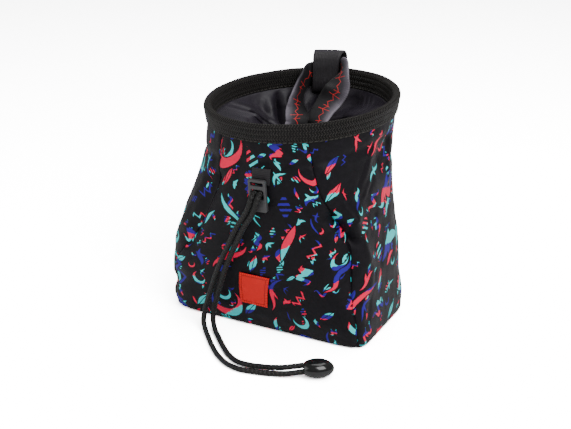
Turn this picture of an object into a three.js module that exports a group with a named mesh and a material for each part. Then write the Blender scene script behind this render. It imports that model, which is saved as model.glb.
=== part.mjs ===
// Climbing chalk bag: a soft bucket of printed cloth with a stiff round rim, a lining with a gathered
// collar, a belt loop with a webbing strap through it, and a closing cord in a cord lock.
// Millimetres, +Z up, the front faces -Y, and the origin is the middle of the base's underside.
import * as THREE from "three";

// Body
const HEIGHT = 146.5; // floor to the top of the rim, at the middle of the mouth
const MOUTH_RADIUS = 61.4; // outside of the rim
const BASE_LENGTH = 137.5;
const BASE_DEPTH = 73;
const BASE_ROUND = 2.5; // how far the panels turn under at the floor
const LEAN_X = 6.5; // how far the mouth's middle has sagged from over the base's middle
const LEAN_Y = 3.8;
const RISE_X = 0.05; // slope of the rim
const RISE_Y = 0.042;

// Thicknesses and clearances
const SHELL = 1.2;
const LINING = 1.0;
const TAPE = 1.1;
const WEBBING = 1.5;
const GAP = 0.3; // between pieces that are sewn together
const LINING_SLACK = 1.6; // how far the lining hangs inside the shell
const LINING_WIDENING = 1.5; // its folds are this much wider than the shell's

// Rim tape, folded over the top edges of shell and lining
const BAND_HEIGHT = 11.5;
const BAND_FLARE = 1.7; // the rim is this much wider at the top
const SLOT_DROP = 2.2; // top of the slot that holds the edges, below the rim

// Collar, the gathered sleeve that closes the mouth
const COLLAR_DEPTH = 40;
const COLLAR = 1.0;
const COLLAR_HANG = 6.4; // how far its hem hangs in from the lining

// Belt loop at the back and the strap through it
const LOOP_WIDTH = 20;
const LOOP_ANGLE = 98;
const LOOP_RISE = 11.6; // top of the loop above the rim
const STRAP_WIDTH = 16;

// Cord lock and its tab
const LOCK_WIDTH = 11.4;
const LOCK_LENGTH = 20.5;
const LOCK_THICKNESS = 2.6;
const LOCK_CORNER = 1.2;
const LOCK_BEVEL = 0.35;
const LOCK_BAR = 1.6; // thin bar at the top of the lock
const SLOT_LENGTH = 2.2;
const SLOT_WIDTH = 8.4;
const CROSSBAR = 2.4;
const WINDOW_WIDTH = 8.4;
const WINDOW_LENGTH = 6.2;
const LOCK_ANGLE = 274;
const LOCK_LEVEL = 0.749; // share of the neck's height, at the lock's middle
const TAB = 1.0;
const TAB_WIDTH = 11;
const TAB_RUN = 7; // how far the tab reaches above the lock

// Patch on the front
const PATCH_WIDTH = 19.4;
const PATCH_HEIGHT = 23;
const PATCH = 1.0;
const PATCH_ANGLE = 270.2;
const PATCH_LEVEL = 0.2306;
const PATCH_LEAN = 2.6; // its top edge lies this much further right than its foot

// Cord and the end piece on it
const CORD_DIAMETER = 3.4;
const CORD_STEPS = 34;
const CORD_SIDES = 8;
const END_LENGTH = 20.2;
const END_WIDTH = 14.2;
const END_HEIGHT = 11.2;
const END_FLAT = 2; // cut off the end piece where the cord goes in
const END_DISH = 2.4; // depth of the thumb dish
const END_TURN = 30; // degrees from +X
const END_X = 56.5;
const END_Y = -74.4;

// What follows from the sizes above
const NECK_HEIGHT = HEIGHT - BAND_HEIGHT;
const NECK_RADIUS = MOUTH_RADIUS - BAND_FLARE - TAPE - GAP;
const BAND_OUTER = GAP + TAPE; // outer face of the rim, measured out from the shell
const BAND_INNER = -(SHELL + GAP + LINING + GAP + TAPE); // inner face of the rim
const RIM_INSIDE = NECK_RADIUS + BAND_FLARE + BAND_INNER;
const STRAP_SEAT = RIM_INSIDE - GAP - WEBBING / 2;
const SHELL_TOP = 1 + (BAND_HEIGHT - SLOT_DROP - GAP) / NECK_HEIGHT; // level of the shell's hidden top edge

// How finely the surfaces are faceted
const SIDE_STEPS = 14; // across a side or front panel
const BACK_STEPS = 11; // across the back panel
const FRONT_STEPS = 8; // across the lining's front or back
const PANEL_ROWS = 14;
const LINING_ROWS = 8;
const RIM_STEPS = 50;
const COLLAR_STEPS = 44;
const LOOP_STEPS = 5; // across the belt loop's width
const STRAP_STEPS = 3; // between two rows of the strap's table

// The body's sections, from the floor (level 0) to the band's lower edge (level 1).
// neckX and neckY: share of the way from the base's half size to the neck's radius.
// square: exponent of the outline, 2 is an ellipse. leanX and leanY: share of the mouth's lean.
// swell: share added to both half sizes.
const SECTIONS = [
  { level: 0.0, neckX: 0.0, neckY: 0.0, square: 10.0, leanX: 0.0, leanY: 0.0, swell: 0.0 },
  { level: 0.118, neckX: 0.0, neckY: 0.2, square: 6.8, leanX: -0.23, leanY: 0.05, swell: 0.022 },
  { level: 0.245, neckX: 0.02, neckY: 0.35, square: 5.0, leanX: -0.36, leanY: 0.05, swell: 0.02 },
  { level: 0.393, neckX: 0.2, neckY: 0.53, square: 4.0, leanX: -0.18, leanY: 0.2, swell: 0.012 },
  { level: 0.54, neckX: 0.52, neckY: 0.68, square: 3.2, leanX: 0.02, leanY: 0.4, swell: 0.004 },
  { level: 0.687, neckX: 0.84, neckY: 0.82, square: 2.6, leanX: 0.37, leanY: 0.65, swell: 0.0 },
  { level: 0.834, neckX: 0.97, neckY: 0.92, square: 2.2, leanX: 0.7, leanY: 0.85, swell: 0.0 },
  { level: 1.0, neckX: 1.0, neckY: 1.0, square: 2.0, leanX: 1.0, leanY: 1.0, swell: 0.0 },
];

// Where the four seams run: the angle round the body, in degrees from +X, at each level.
const SEAMS = [
  { level: 0.0, backRight: 28, backLeft: 152, frontLeft: 208, frontRight: 332.5 },
  { level: 0.196, backRight: 30, backLeft: 150, frontLeft: 210, frontRight: 331 },
  { level: 0.393, backRight: 34, backLeft: 145, frontLeft: 221, frontRight: 330.5 },
  { level: 0.52, backRight: 38, backLeft: 140, frontLeft: 229, frontRight: 330 },
  { level: 0.638, backRight: 44, backLeft: 134, frontLeft: 236.5, frontRight: 320 },
  { level: 0.785, backRight: 52, backLeft: 127, frontLeft: 240, frontRight: 308.5 },
  { level: 1.0, backRight: 60, backLeft: 120, frontLeft: 241, frontRight: 300 },
];

// Folds and hollows of the cloth, each along a line from one angle and level to another.
// reach and spread are shares of the neck's radius, and a negative reach goes inwards.
const FOLDS = [
  { place: "ridge at the front right", from: [311, 0.844], to: [331, 0.628], reach: 0.045, spread: 0.1 },
  { place: "foot of that ridge", from: [331, 0.628], to: [343, 0.294], reach: 0.04, spread: 0.13 },
  { place: "crease below it", from: [318, 0.648], to: [331, 0.52], reach: -0.06, spread: 0.07 },
  { place: "hollow below the crease", from: [327, 0.451], to: [331, 0.275], reach: -0.035, spread: 0.12 },
  { place: "pinch under the rim", from: [12, 0.883], to: [-2, 0.844], reach: -0.075, spread: 0.15 },
  { place: "crease at the front left", from: [240, 0.785], to: [223, 0.412], reach: -0.035, spread: 0.1 },
  { place: "belly left of it", from: [222, 0.648], to: [205, 0.393], reach: 0.03, spread: 0.22 },
  { place: "left corner", from: [206, 0.137], to: [214, 0.196], reach: -0.04, spread: 0.08 },
  { place: "crease at the back right", from: [55, 0.824], to: [36, 0.491], reach: -0.04, spread: 0.12 },
  { place: "crease at the back left", from: [126, 0.785], to: [144, 0.451], reach: -0.045, spread: 0.12 },
  { place: "hollow of the back", from: [80, 0.412], to: [100, 0.353], reach: -0.04, spread: 0.3 },
  { place: "hollow of the left side", from: [178, 0.609], to: [184, 0.491], reach: -0.035, spread: 0.25 },
];

const RIM_FADE = 0.08; // the folds die out over this share of the height, up to the rim's tape

// How far the collar leans in round each angle, as a share of the mouth's radius at its hem.
const COLLAR_LEANS = [
  { angle: 178, spread: 34, reach: 0.34 },
  { angle: 138, spread: 12, reach: 0.07 },
  { angle: 110, spread: 10, reach: 0.04 },
  { angle: 48, spread: 18, reach: 0.12 },
  { angle: 8, spread: 12, reach: 0.08 },
  { angle: 328, spread: 24, reach: 0.2 },
  { angle: 268, spread: 26, reach: 0.14 },
];

// The belt loop's middle line from its inner end, over the rim, to its outer end.
// across: 0 at the rim's inner face, 1 at its outer face. out: further out, in webbing thicknesses.
// up: height above the rim, as a share of LOOP_RISE or, below the rim, of BAND_HEIGHT.
const LOOP_PATH = [
  { across: 0, out: -0.75, up: -1.32 },
  { across: 0, out: -2.6, up: -1.13 },
  { across: 0, out: -3.5, up: -0.7 },
  { across: 0, out: -3.7, up: -0.2 },
  { across: 0, out: -3.5, up: 0.45 },
  { across: 0, out: -2.6, up: 0.8 },
  { across: 0.1, out: 0, up: 0.98 },
  { across: 0.7, out: 0, up: 0.94 },
  { across: 1, out: 0.4, up: 0.7 },
  { across: 1, out: 0.75, up: 0.35 },
  { across: 1, out: 0.75, up: 0.0 },
  { across: 1, out: 0.75, up: -0.5 },
  { across: 1, out: 0.75, up: -1.0 },
];

// The strap's middle line: up its left leg, through the belt loop and down its right leg.
// reach: distance from the mouth's middle, 1 where the strap lies on the rim's inner face.
// up: height above the rim, as a share of the mouth's radius. turn and tip: heading and slope of the
// width, from the strap's upper edge to its lower edge, in degrees.
const STRAP_PATH = [
  { angle: 97, reach: 0.52, up: -1.12, turn: 90, tip: 0 },
  { angle: 115, reach: 0.56, up: -1.02, turn: 90, tip: 0 },
  { angle: 126, reach: 0.57, up: -0.82, turn: 78, tip: 0 },
  { angle: 126, reach: 0.53, up: -0.62, turn: 40, tip: 5 },
  { angle: 122, reach: 0.5, up: -0.45, turn: 8, tip: 6 },
  { angle: 121, reach: 0.68, up: -0.345, turn: 62, tip: -12 },
  { angle: 121, reach: 0.745, up: -0.275, turn: 80, tip: -20 },
  { angle: 119, reach: 0.79, up: -0.2, turn: 88, tip: -32 },
  { angle: 115, reach: 0.855, up: -0.11, turn: 94, tip: -50 },
  { angle: 109.5, reach: 0.94, up: -0.045, turn: 280, tip: -88 },
  { angle: 98, reach: 0.98, up: -0.035, turn: 278, tip: -84 },
  { angle: 88, reach: 0.965, up: -0.025, turn: 268, tip: -84 },
  { angle: 82, reach: 0.86, up: 0.045, turn: 118, tip: -40 },
  { angle: 80, reach: 0.785, up: 0.03, turn: 135, tip: -16 },
  { angle: 78, reach: 0.71, up: -0.03, turn: 162, tip: -8 },
  { angle: 77, reach: 0.65, up: -0.11, turn: 194, tip: 2 },
  { angle: 83, reach: 0.59, up: -0.235, turn: 188, tip: 7 },
  { angle: 86, reach: 0.48, up: -0.32, turn: 172, tip: 6 },
  { angle: 85, reach: 0.36, up: -0.42, turn: 154, tip: 0 },
  { angle: 84, reach: 0.36, up: -0.62, turn: 125, tip: 0 },
  { angle: 80, reach: 0.44, up: -0.86, turn: 98, tip: 0 },
];

// The cord's two strands, from the cord lock to the end piece: points chosen by hand.
const LEFT_STRAND = [
  [5.3, -53.4, 102.0], [5.2, -56.6, 101.2], [4.7, -59.1, 98.4], [3.7, -60.1, 94.0], [0.7, -59.6, 88.0],
  [-5.2, -57.9, 79.2], [-14.0, -55.8, 62.6], [-23.4, -53.4, 43.2], [-30.8, -51.6, 23.4],
  [-34.0, -51.4, 13.6], [-34.2, -53.8, 5.8], [-30.0, -58.6, 2.2], [-24.4, -64.8, 1.8],
  [-16.4, -73.6, 1.8], [-7.2, -82.2, 1.8], [2.7, -88.5, 1.8], [12.4, -90.8, 1.8],
  [22.0, -89.4, 1.8], [31.5, -86.9, 1.9], [40.3, -84.2, 2.6], [45.5, -82.0, 3.5], [49.8, -79.7, 4.2],
];
const RIGHT_STRAND = [
  [9.3, -53.4, 102.0], [9.2, -56.6, 101.2], [8.8, -59.1, 98.4], [7.8, -60.1, 94.0], [5.1, -59.6, 88.0],
  [-0.6, -57.9, 79.8], [-9.2, -55.6, 63.6], [-18.2, -53.0, 44.4], [-25.2, -50.6, 24.6],
  [-28.2, -49.9, 14.6], [-28.4, -51.6, 6.8], [-24.8, -55.6, 2.5], [-18.8, -61.8, 1.8],
  [-10.6, -70.4, 1.8], [-1.8, -78.4, 1.8], [7.0, -83.4, 1.8], [15.6, -83.8, 1.8],
  [24.0, -82.4, 2.1], [31.5, -82.6, 3.6], [39.0, -81.8, 5.3], [44.3, -79.8, 6.4], [48.6, -77.5, 7.0],
];

const radians = THREE.MathUtils.degToRad;

// The value of one column of a table at a level, along a smooth curve that doesn't overshoot.
function columnAt(rows, key, level) {
  const last = rows.length - 1;
  if (level <= rows[0].level) return rows[0][key];
  if (level >= rows[last].level) return rows[last][key];
  const i = rows.findIndex((row, k) => level <= rows[k + 1].level);
  const step = (k) => (rows[k + 1][key] - rows[k][key]) / (rows[k + 1].level - rows[k].level);
  const slope = (k) => {
    if (k === 0) return step(0);
    if (k === last) return step(last - 1);
    const product = step(k - 1) * step(k);
    return product > 0 ? (2 * product) / (step(k - 1) + step(k)) : 0;
  };
  const run = rows[i + 1].level - rows[i].level;
  const t = (level - rows[i].level) / run;
  return (
    rows[i][key] * (1 + 2 * t) * (1 - t) ** 2 +
    slope(i) * run * t * (1 - t) ** 2 +
    rows[i + 1][key] * t * t * (3 - 2 * t) -
    slope(i + 1) * run * t * t * (1 - t)
  );
}

// The difference between two angles in degrees, from -180 to 180.
function turnBetween(angle, other) {
  return THREE.MathUtils.euclideanModulo(angle - other + 180, 360) - 180;
}

// How far all folds move the cloth outwards at a point. A loose lining follows them more widely.
function foldReach(angle, level, widening = 1) {
  const tall = NECK_HEIGHT / NECK_RADIUS;
  const fade = THREE.MathUtils.smoothstep(1 - level, 0, RIM_FADE);
  return FOLDS.reduce((sum, fold) => {
    const alongX = radians(fold.to[0] - fold.from[0]);
    const alongY = (fold.to[1] - fold.from[1]) * tall;
    const x = radians(turnBetween(angle, fold.from[0]));
    const y = (level - fold.from[1]) * tall;
    const share = (x * alongX + y * alongY) / (alongX ** 2 + alongY ** 2);
    const t = THREE.MathUtils.clamp(share, 0, 1);
    const away = Math.hypot(x - alongX * t, y - alongY * t) / (fold.spread * widening);
    return sum + fold.reach * NECK_RADIUS * fade * Math.exp(-(away ** 2));
  }, 0);
}

// A point of the rim: a distance from the mouth's middle, and a drop below the sloping rim.
function rimPoint(angle, radius, drop) {
  const x = radius * Math.cos(radians(angle));
  const y = radius * Math.sin(radians(angle));
  return new THREE.Vector3(LEAN_X + x, LEAN_Y + y, HEIGHT + RISE_X * x + RISE_Y * y - drop);
}

// The shell's radius inside the rim tape, which flares outwards to the top.
function flaredRadius(drop) {
  return NECK_RADIUS + BAND_FLARE * (1 - drop / BAND_HEIGHT);
}

// A point of the shell's outer surface, or of one that lies an inset inside it. The reach is how far
// the folds move it.
function skin(angle, level, inset = 0, reach = foldReach(angle, level)) {
  const height = level * NECK_HEIGHT;
  if (level > 1) {
    const drop = HEIGHT - height;
    return rimPoint(angle, flaredRadius(drop) - inset, drop);
  }
  const section = (key) => columnAt(SECTIONS, key, level);
  const under = Math.max(0, 1 - height / BASE_ROUND);
  const turned = BASE_ROUND * (1 - Math.sqrt(1 - under ** 2));
  const swell = 1 + section("swell");
  const halfX = THREE.MathUtils.lerp(BASE_LENGTH / 2, NECK_RADIUS, section("neckX")) * swell;
  const halfY = THREE.MathUtils.lerp(BASE_DEPTH / 2, NECK_RADIUS, section("neckY")) * swell;
  const square = section("square");
  const cosine = Math.abs(Math.cos(radians(angle))) / (halfX - inset - turned);
  const sine = Math.abs(Math.sin(radians(angle))) / (halfY - inset - turned);
  const radius = (cosine ** square + sine ** square) ** (-1 / square) + reach;
  const x = LEAN_X * section("leanX") + radius * Math.cos(radians(angle));
  const y = LEAN_Y * section("leanY") + radius * Math.sin(radians(angle));
  const slope = RISE_X * (x - LEAN_X) + RISE_Y * (y - LEAN_Y);
  return new THREE.Vector3(x, y, height + slope * level * level);
}

// A body from rings of points: each ring is joined to the next. Seen along the way from ring to ring
// each ring runs clockwise about the body, and a ring of one point closes an end.
function bodyFromRings(rings, closed = false) {
  const starts = [];
  const points = [];
  for (const ring of rings) {
    starts.push(points.length);
    points.push(...ring);
  }
  const faces = [];
  const bands = closed ? rings.length : rings.length - 1;
  for (let i = 0; i < bands; i++) {
    const k = (i + 1) % rings.length;
    const count = Math.max(rings[i].length, rings[k].length);
    for (let j = 0; j < count; j++) {
      const a = starts[i] + (j % rings[i].length);
      const b = starts[i] + ((j + 1) % rings[i].length);
      const c = starts[k] + ((j + 1) % rings[k].length);
      const d = starts[k] + (j % rings[k].length);
      if (a !== b) faces.push(a, b, c);
      if (c !== d) faces.push(a, c, d);
    }
  }
  return geometryOf(points, faces);
}

// A sheet with two faces, from two grids of points with rows going up and columns going round.
function sheet(outer, inner) {
  const rows = outer.length;
  const columns = outer[0].length;
  const points = [...outer.flat(), ...inner.flat()];
  const front = (i, j) => i * columns + j;
  const back = (i, j) => rows * columns + front(i, j);
  const faces = [];
  const quad = (a, b, c, d) => faces.push(a, b, c, a, c, d);
  for (let i = 0; i < rows - 1; i++) {
    for (let j = 0; j < columns - 1; j++) {
      quad(front(i, j), front(i, j + 1), front(i + 1, j + 1), front(i + 1, j));
      quad(back(i, j + 1), back(i, j), back(i + 1, j), back(i + 1, j + 1));
    }
    quad(back(i, 0), front(i, 0), front(i + 1, 0), back(i + 1, 0));
    quad(front(i, columns - 1), back(i, columns - 1), back(i + 1, columns - 1), front(i + 1, columns - 1));
  }
  for (let j = 0; j < columns - 1; j++) {
    quad(back(0, j), back(0, j + 1), front(0, j + 1), front(0, j));
    quad(front(rows - 1, j), front(rows - 1, j + 1), back(rows - 1, j + 1), back(rows - 1, j));
  }
  return geometryOf(points, faces);
}

function geometryOf(points, faces) {
  const geometry = new THREE.BufferGeometry().setFromPoints(points);
  geometry.setIndex(faces);
  geometry.computeVertexNormals();
  return geometry;
}

// Evenly spaced values from one number to another, both included.
function spread(from, to, steps) {
  return Array.from({ length: steps + 1 }, (_, i) => THREE.MathUtils.lerp(from, to, i / steps));
}

// Levels from the floor to the top of a wall: close together where the wall turns under.
function wallLevels(rows, top) {
  const turn = [0, 45, 90].map((t) => (BASE_ROUND * (1 - Math.cos(radians(t)))) / NECK_HEIGHT);
  return [...turn, ...spread(turn[2], 1, rows).slice(1), top];
}

// One panel of the shell between two seams, whose keys name columns of the table of seams.
function panel(firstSeam, lastSeam, columns) {
  const grid = (inset) =>
    wallLevels(PANEL_ROWS, SHELL_TOP).map((level) => {
      const first = columnAt(SEAMS, firstSeam, level);
      const last = columnAt(SEAMS, lastSeam, level);
      const wide = THREE.MathUtils.euclideanModulo(last - first, 360);
      const middle = skin(first, level, inset);
      const gap = THREE.MathUtils.radToDeg(GAP / 2 / Math.hypot(middle.x, middle.y));
      return spread(first + gap, first + wide - gap, columns).map((a) => skin(a, level, inset));
    });
  return sheet(grid(0), grid(SHELL));
}

// Angles all round the body at a level, in steps that start and end at the seams.
function roundAngles(level) {
  const seams = ["backRight", "backLeft", "frontLeft", "frontRight"];
  return seams.flatMap((key, i) => {
    const first = columnAt(SEAMS, key, level);
    const last = columnAt(SEAMS, seams[(i + 1) % seams.length], level);
    const wide = THREE.MathUtils.euclideanModulo(last - first, 360);
    const steps = key === "backLeft" || key === "frontRight" ? SIDE_STEPS : FRONT_STEPS;
    return spread(first, first + wide, steps).slice(0, -1);
  });
}

function basePanel() {
  const ring = (z) =>
    roundAngles(0).map((angle) => skin(angle, z / NECK_HEIGHT, SHELL + GAP).setZ(z));
  const low = ring(0);
  const high = low.map((point) => point.clone().setZ(SHELL));
  return bodyFromRings([[new THREE.Vector3(0, 0, 0)], low, high, [new THREE.Vector3(0, 0, SHELL)]]);
}

// The lining is a pocket: up its outside from the floor, over its top edge and down its inside.
function lining() {
  const floor = SHELL + GAP;
  const levels = [...spread((floor + LINING) / NECK_HEIGHT, 1, LINING_ROWS), SHELL_TOP];
  const wall = (inset) =>
    levels.map((level) => {
      const slack = level < 1 ? LINING_SLACK : GAP;
      const reach = (angle) => Math.min(0, foldReach(angle, level, LINING_WIDENING));
      return roundAngles(level).map((a) => skin(a, level, SHELL + slack + inset, reach(a)));
    });
  const pole = (z) => [new THREE.Vector3(0, 0, z)];
  const outside = wall(0);
  const inside = wall(LINING);
  const foot = outside[0].map((point) => point.clone().setZ(floor));
  return bodyFromRings([pole(floor), foot, ...outside.slice(1), ...inside.reverse(), pole(floor + LINING)]);
}

function rimBand() {
  const crown = BAND_INNER + (BAND_OUTER - BAND_INNER) / 2;
  const round = (BAND_OUTER - BAND_INNER) / 2;
  const arch = [0, 36, 72, 108, 144, 180].map((t) => ({
    out: crown + round * Math.cos(radians(t)),
    drop: round * (1 - Math.sin(radians(t))),
  }));
  const section = [
    { out: BAND_OUTER, drop: BAND_HEIGHT },
    ...arch,
    { out: BAND_INNER, drop: BAND_HEIGHT },
    { out: BAND_INNER + TAPE, drop: BAND_HEIGHT },
    { out: BAND_INNER + TAPE, drop: SLOT_DROP },
    { out: GAP, drop: SLOT_DROP },
    { out: GAP, drop: BAND_HEIGHT },
  ];
  const rings = section.map(({ out, drop }) =>
    spread(0, 360, RIM_STEPS).slice(0, -1).map((angle) => rimPoint(angle, flaredRadius(drop) + out, drop)),
  );
  return bodyFromRings(rings, true);
}

// The collar hangs from the rim tape's inner edge and leans in by the table of leans.
function collar() {
  const top = SHELL + GAP + LINING + GAP + GAP / 3;
  const lean = (angle) =>
    COLLAR_LEANS.reduce((sum, row) => {
      const away = turnBetween(angle, row.angle) / row.spread;
      return sum + row.reach * MOUTH_RADIUS * Math.exp(-(away ** 2));
    }, COLLAR_HANG);
  const ring = (share, thickness) => {
    const level = 1 - (GAP + COLLAR_DEPTH * share) / NECK_HEIGHT;
    return spread(0, 360, COLLAR_STEPS).slice(0, -1).map((angle) => {
      const inset = top + thickness + lean(angle) * share;
      return skin(angle, level, inset, Math.min(0, foldReach(angle, level, LINING_WIDENING)));
    });
  };
  const shares = [0, 0.15, 0.35, 0.6, 0.8, 1];
  const outside = shares.map((share) => ring(share, 0)).reverse();
  const inside = shares.map((share) => ring(share, COLLAR));
  return bodyFromRings([...outside, ...inside], true);
}

// The belt loop is a strip of webbing bent along its path and round the rim.
function beltLoop() {
  const place = (row) => {
    const drop = -row.up * (row.up > 0 ? LOOP_RISE : BAND_HEIGHT);
    const shell = flaredRadius(Math.max(drop, 0));
    const face = THREE.MathUtils.lerp(BAND_INNER, BAND_OUTER, row.across);
    const side = row.across > 0.5 ? 1 : -1;
    const clear = row.across === 0 || row.across === 1 ? side * GAP : 0;
    return { radius: shell + face + clear + row.out * WEBBING, drop };
  };
  const middle = LOOP_PATH.map(place);
  const half = THREE.MathUtils.radToDeg(LOOP_WIDTH / 2 / RIM_INSIDE);
  const face = (side) =>
    middle.map((at, i) => {
      const before = middle[Math.max(i - 1, 0)];
      const after = middle[Math.min(i + 1, middle.length - 1)];
      const along = new THREE.Vector2(after.radius - before.radius, before.drop - after.drop).normalize();
      const radius = at.radius + (side * along.y * WEBBING) / 2;
      const drop = at.drop + (side * along.x * WEBBING) / 2;
      return spread(LOOP_ANGLE - half, LOOP_ANGLE + half, LOOP_STEPS).map((angle) => rimPoint(angle, radius, drop));
    });
  return sheet(face(1), face(-1));
}

// A flat strip along a closed path whose width turns by the table.
function strapLoop() {
  const headings = STRAP_PATH.map(({ turn, tip }) => {
    const flat = new THREE.Vector3(Math.cos(radians(turn)), Math.sin(radians(turn)), 0);
    return flat.multiplyScalar(Math.cos(radians(tip))).setZ(Math.sin(radians(tip)));
  });
  const places = STRAP_PATH.map(({ angle, reach, up }) =>
    rimPoint(angle, STRAP_SEAT * reach, -up * MOUTH_RADIUS),
  );
  const middle = new THREE.CatmullRomCurve3(places, true);
  const width = new THREE.CatmullRomCurve3(headings, true);
  const rings = spread(0, 1, STRAP_PATH.length * STRAP_STEPS).slice(0, -1).map((t) => {
    const at = middle.getPoint(t);
    const along = middle.getTangent(t);
    const wide = width.getPoint(t);
    wide.addScaledVector(along, -wide.dot(along)).setLength(STRAP_WIDTH / 2);
    const thick = along.clone().cross(wide).setLength(WEBBING / 2);
    return [[1, 1], [-1, 1], [-1, -1], [1, -1]].map(([w, n]) =>
      at.clone().addScaledVector(wide, w).addScaledVector(thick, n),
    );
  });
  return bodyFromRings(rings, true);
}

// A small sheet that lies on the shell: its size, and where its middle is.
function applique({ angle, level, width, height, thickness, lean = 0, off = GAP, columns, rows }) {
  const middle = skin(angle, level);
  const around = THREE.MathUtils.radToDeg(1 / Math.hypot(middle.x, middle.y));
  const grid = (inset) =>
    spread(-0.5, 0.5, rows).map((v) =>
      spread(-0.5, 0.5, columns).map((u) =>
        skin(angle + (u * width + v * lean) * around, level + (v * height) / NECK_HEIGHT, inset),
      ),
    );
  return sheet(grid(-off - thickness), grid(-off));
}

// A group whose +Z stands out from the shell at a point, with +Y up along it.
function onShell(angle, level, off) {
  const at = skin(angle, level);
  const across = skin(angle + 1, level).sub(skin(angle - 1, level)).normalize();
  const up = skin(angle, level + 0.02).sub(skin(angle, level - 0.02)).normalize();
  const out = across.clone().cross(up).normalize();
  up.crossVectors(out, across);
  const group = new THREE.Group();
  group.setRotationFromMatrix(new THREE.Matrix4().makeBasis(across, up, out));
  group.position.copy(at.addScaledVector(out, off));
  return group;
}

// A rectangle with round corners, as a shape or as a hole in one.
function roundedRectangle(path, x, y, width, height, corner) {
  const right = x + width;
  const top = y + height;
  path.moveTo(x + corner, y);
  path.lineTo(right - corner, y).absarc(right - corner, y + corner, corner, -Math.PI / 2, 0);
  path.lineTo(right, top - corner).absarc(right - corner, top - corner, corner, 0, Math.PI / 2);
  path.lineTo(x + corner, top).absarc(x + corner, top - corner, corner, Math.PI / 2, Math.PI);
  path.lineTo(x, y + corner).absarc(x + corner, y + corner, corner, Math.PI, 1.5 * Math.PI);
  return path;
}

function cordLock() {
  const top = LOCK_LENGTH / 2;
  const outline = roundedRectangle(new THREE.Shape(), -LOCK_WIDTH / 2, -top, LOCK_WIDTH, LOCK_LENGTH, LOCK_CORNER);
  const slotY = top - LOCK_BAR - SLOT_LENGTH;
  const windowY = slotY - CROSSBAR - WINDOW_LENGTH;
  outline.holes.push(
    roundedRectangle(new THREE.Path(), -SLOT_WIDTH / 2, slotY, SLOT_WIDTH, SLOT_LENGTH, LOCK_BEVEL),
    roundedRectangle(new THREE.Path(), -WINDOW_WIDTH / 2, windowY, WINDOW_WIDTH, WINDOW_LENGTH, LOCK_CORNER),
  );
  return new THREE.ExtrudeGeometry(outline, {
    depth: LOCK_THICKNESS - 2 * LOCK_BEVEL,
    bevelThickness: LOCK_BEVEL,
    bevelSize: LOCK_BEVEL,
    bevelOffset: -LOCK_BEVEL,
    bevelSegments: 1,
    curveSegments: 3,
  }).translate(0, 0, LOCK_BEVEL);
}

function cordTube(points) {
  const section = new THREE.Shape(
    spread(0, 2 * Math.PI, CORD_SIDES).slice(0, -1).map((t) =>
      new THREE.Vector2(Math.cos(t), Math.sin(t)).multiplyScalar(CORD_DIAMETER / 2),
    ),
  );
  const extrudePath = new THREE.CatmullRomCurve3(points.map((point) => new THREE.Vector3(...point)));
  return new THREE.ExtrudeGeometry(section, { steps: CORD_STEPS, extrudePath });
}

// The end piece is an egg lying on the floor, flat where the cord goes in, with a dish for the thumb.
function cordEnd() {
  const geometry = new THREE.SphereGeometry(1, 24, 14).rotateX(Math.PI / 2);
  const points = geometry.getAttribute("position");
  for (let i = 0; i < points.count; i++) {
    const x = Math.max(points.getX(i), -1 + (2 * END_FLAT) / END_LENGTH);
    const y = points.getY(i);
    const z = points.getZ(i);
    const dish = Math.exp(-(((x + 0.16) / 0.5) ** 2) - (y / 0.58) ** 2);
    const lowered = z > 0 ? (END_DISH * dish * z) / END_HEIGHT : 0;
    points.setXYZ(i, (x * END_LENGTH) / 2, (y * END_WIDTH) / 2, (z * END_HEIGHT) / 2 - lowered);
  }
  geometry.computeVertexNormals();
  return geometry;
}

const MATERIALS = {
  print: { color: 0x241f28, roughness: 0.75 },
  lining: { color: 0x3a363c, roughness: 0.6 },
  tape: { color: 0x1c1a1a, roughness: 0.85 },
  webbing: { color: 0x26232a, roughness: 0.8 },
  lock: { color: 0x4a4a4c, roughness: 0.5 },
  cord: { color: 0x101010, roughness: 0.8 },
  gloss: { color: 0x141414, roughness: 0.15 },
  patch: { color: 0xd82a1e, roughness: 0.9 },
};

const bag = new THREE.Group();

function add(name, geometry, material, parent = bag) {
  const mesh = new THREE.Mesh(geometry, new THREE.MeshStandardMaterial(MATERIALS[material]));
  mesh.name = name;
  parent.add(mesh);
  return mesh;
}

add("panel_front", panel("frontLeft", "frontRight", SIDE_STEPS), "print");
add("panel_right", panel("frontRight", "backRight", SIDE_STEPS), "print");
add("panel_back", panel("backRight", "backLeft", BACK_STEPS), "print");
add("panel_left", panel("backLeft", "frontLeft", SIDE_STEPS), "print");
add("base_panel", basePanel(), "print");
add("lining", lining(), "lining");
add("collar", collar(), "lining");
add("rim_band", rimBand(), "tape");
add("belt_loop", beltLoop(), "tape");
add("strap_loop", strapLoop(), "webbing");

const patch = {
  angle: PATCH_ANGLE,
  level: PATCH_LEVEL,
  width: PATCH_WIDTH,
  height: PATCH_HEIGHT,
  thickness: PATCH,
  lean: PATCH_LEAN,
  columns: 6,
  rows: 5,
};
add("patch", applique(patch), "patch");

const tab = {
  angle: LOCK_ANGLE,
  level: LOCK_LEVEL + (LOCK_LENGTH / 2 + (TAB_RUN - LOCK_BAR - SLOT_LENGTH) / 2) / NECK_HEIGHT,
  width: TAB_WIDTH,
  height: TAB_RUN + LOCK_BAR + SLOT_LENGTH,
  thickness: TAB,
  columns: 4,
  rows: 3,
};
add("lock_tab", applique(tab), "tape");

const lockPlace = onShell(LOCK_ANGLE, LOCK_LEVEL, GAP + TAB + GAP);
bag.add(lockPlace);
add("cord_lock", cordLock(), "lock", lockPlace);

add("drawcord_left", cordTube(LEFT_STRAND), "cord");
add("drawcord_right", cordTube(RIGHT_STRAND), "cord");

const end = add("cord_end", cordEnd(), "gloss");
end.position.set(END_X, END_Y, END_HEIGHT / 2);
end.rotation.z = radians(END_TURN);

export default bag;
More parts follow.
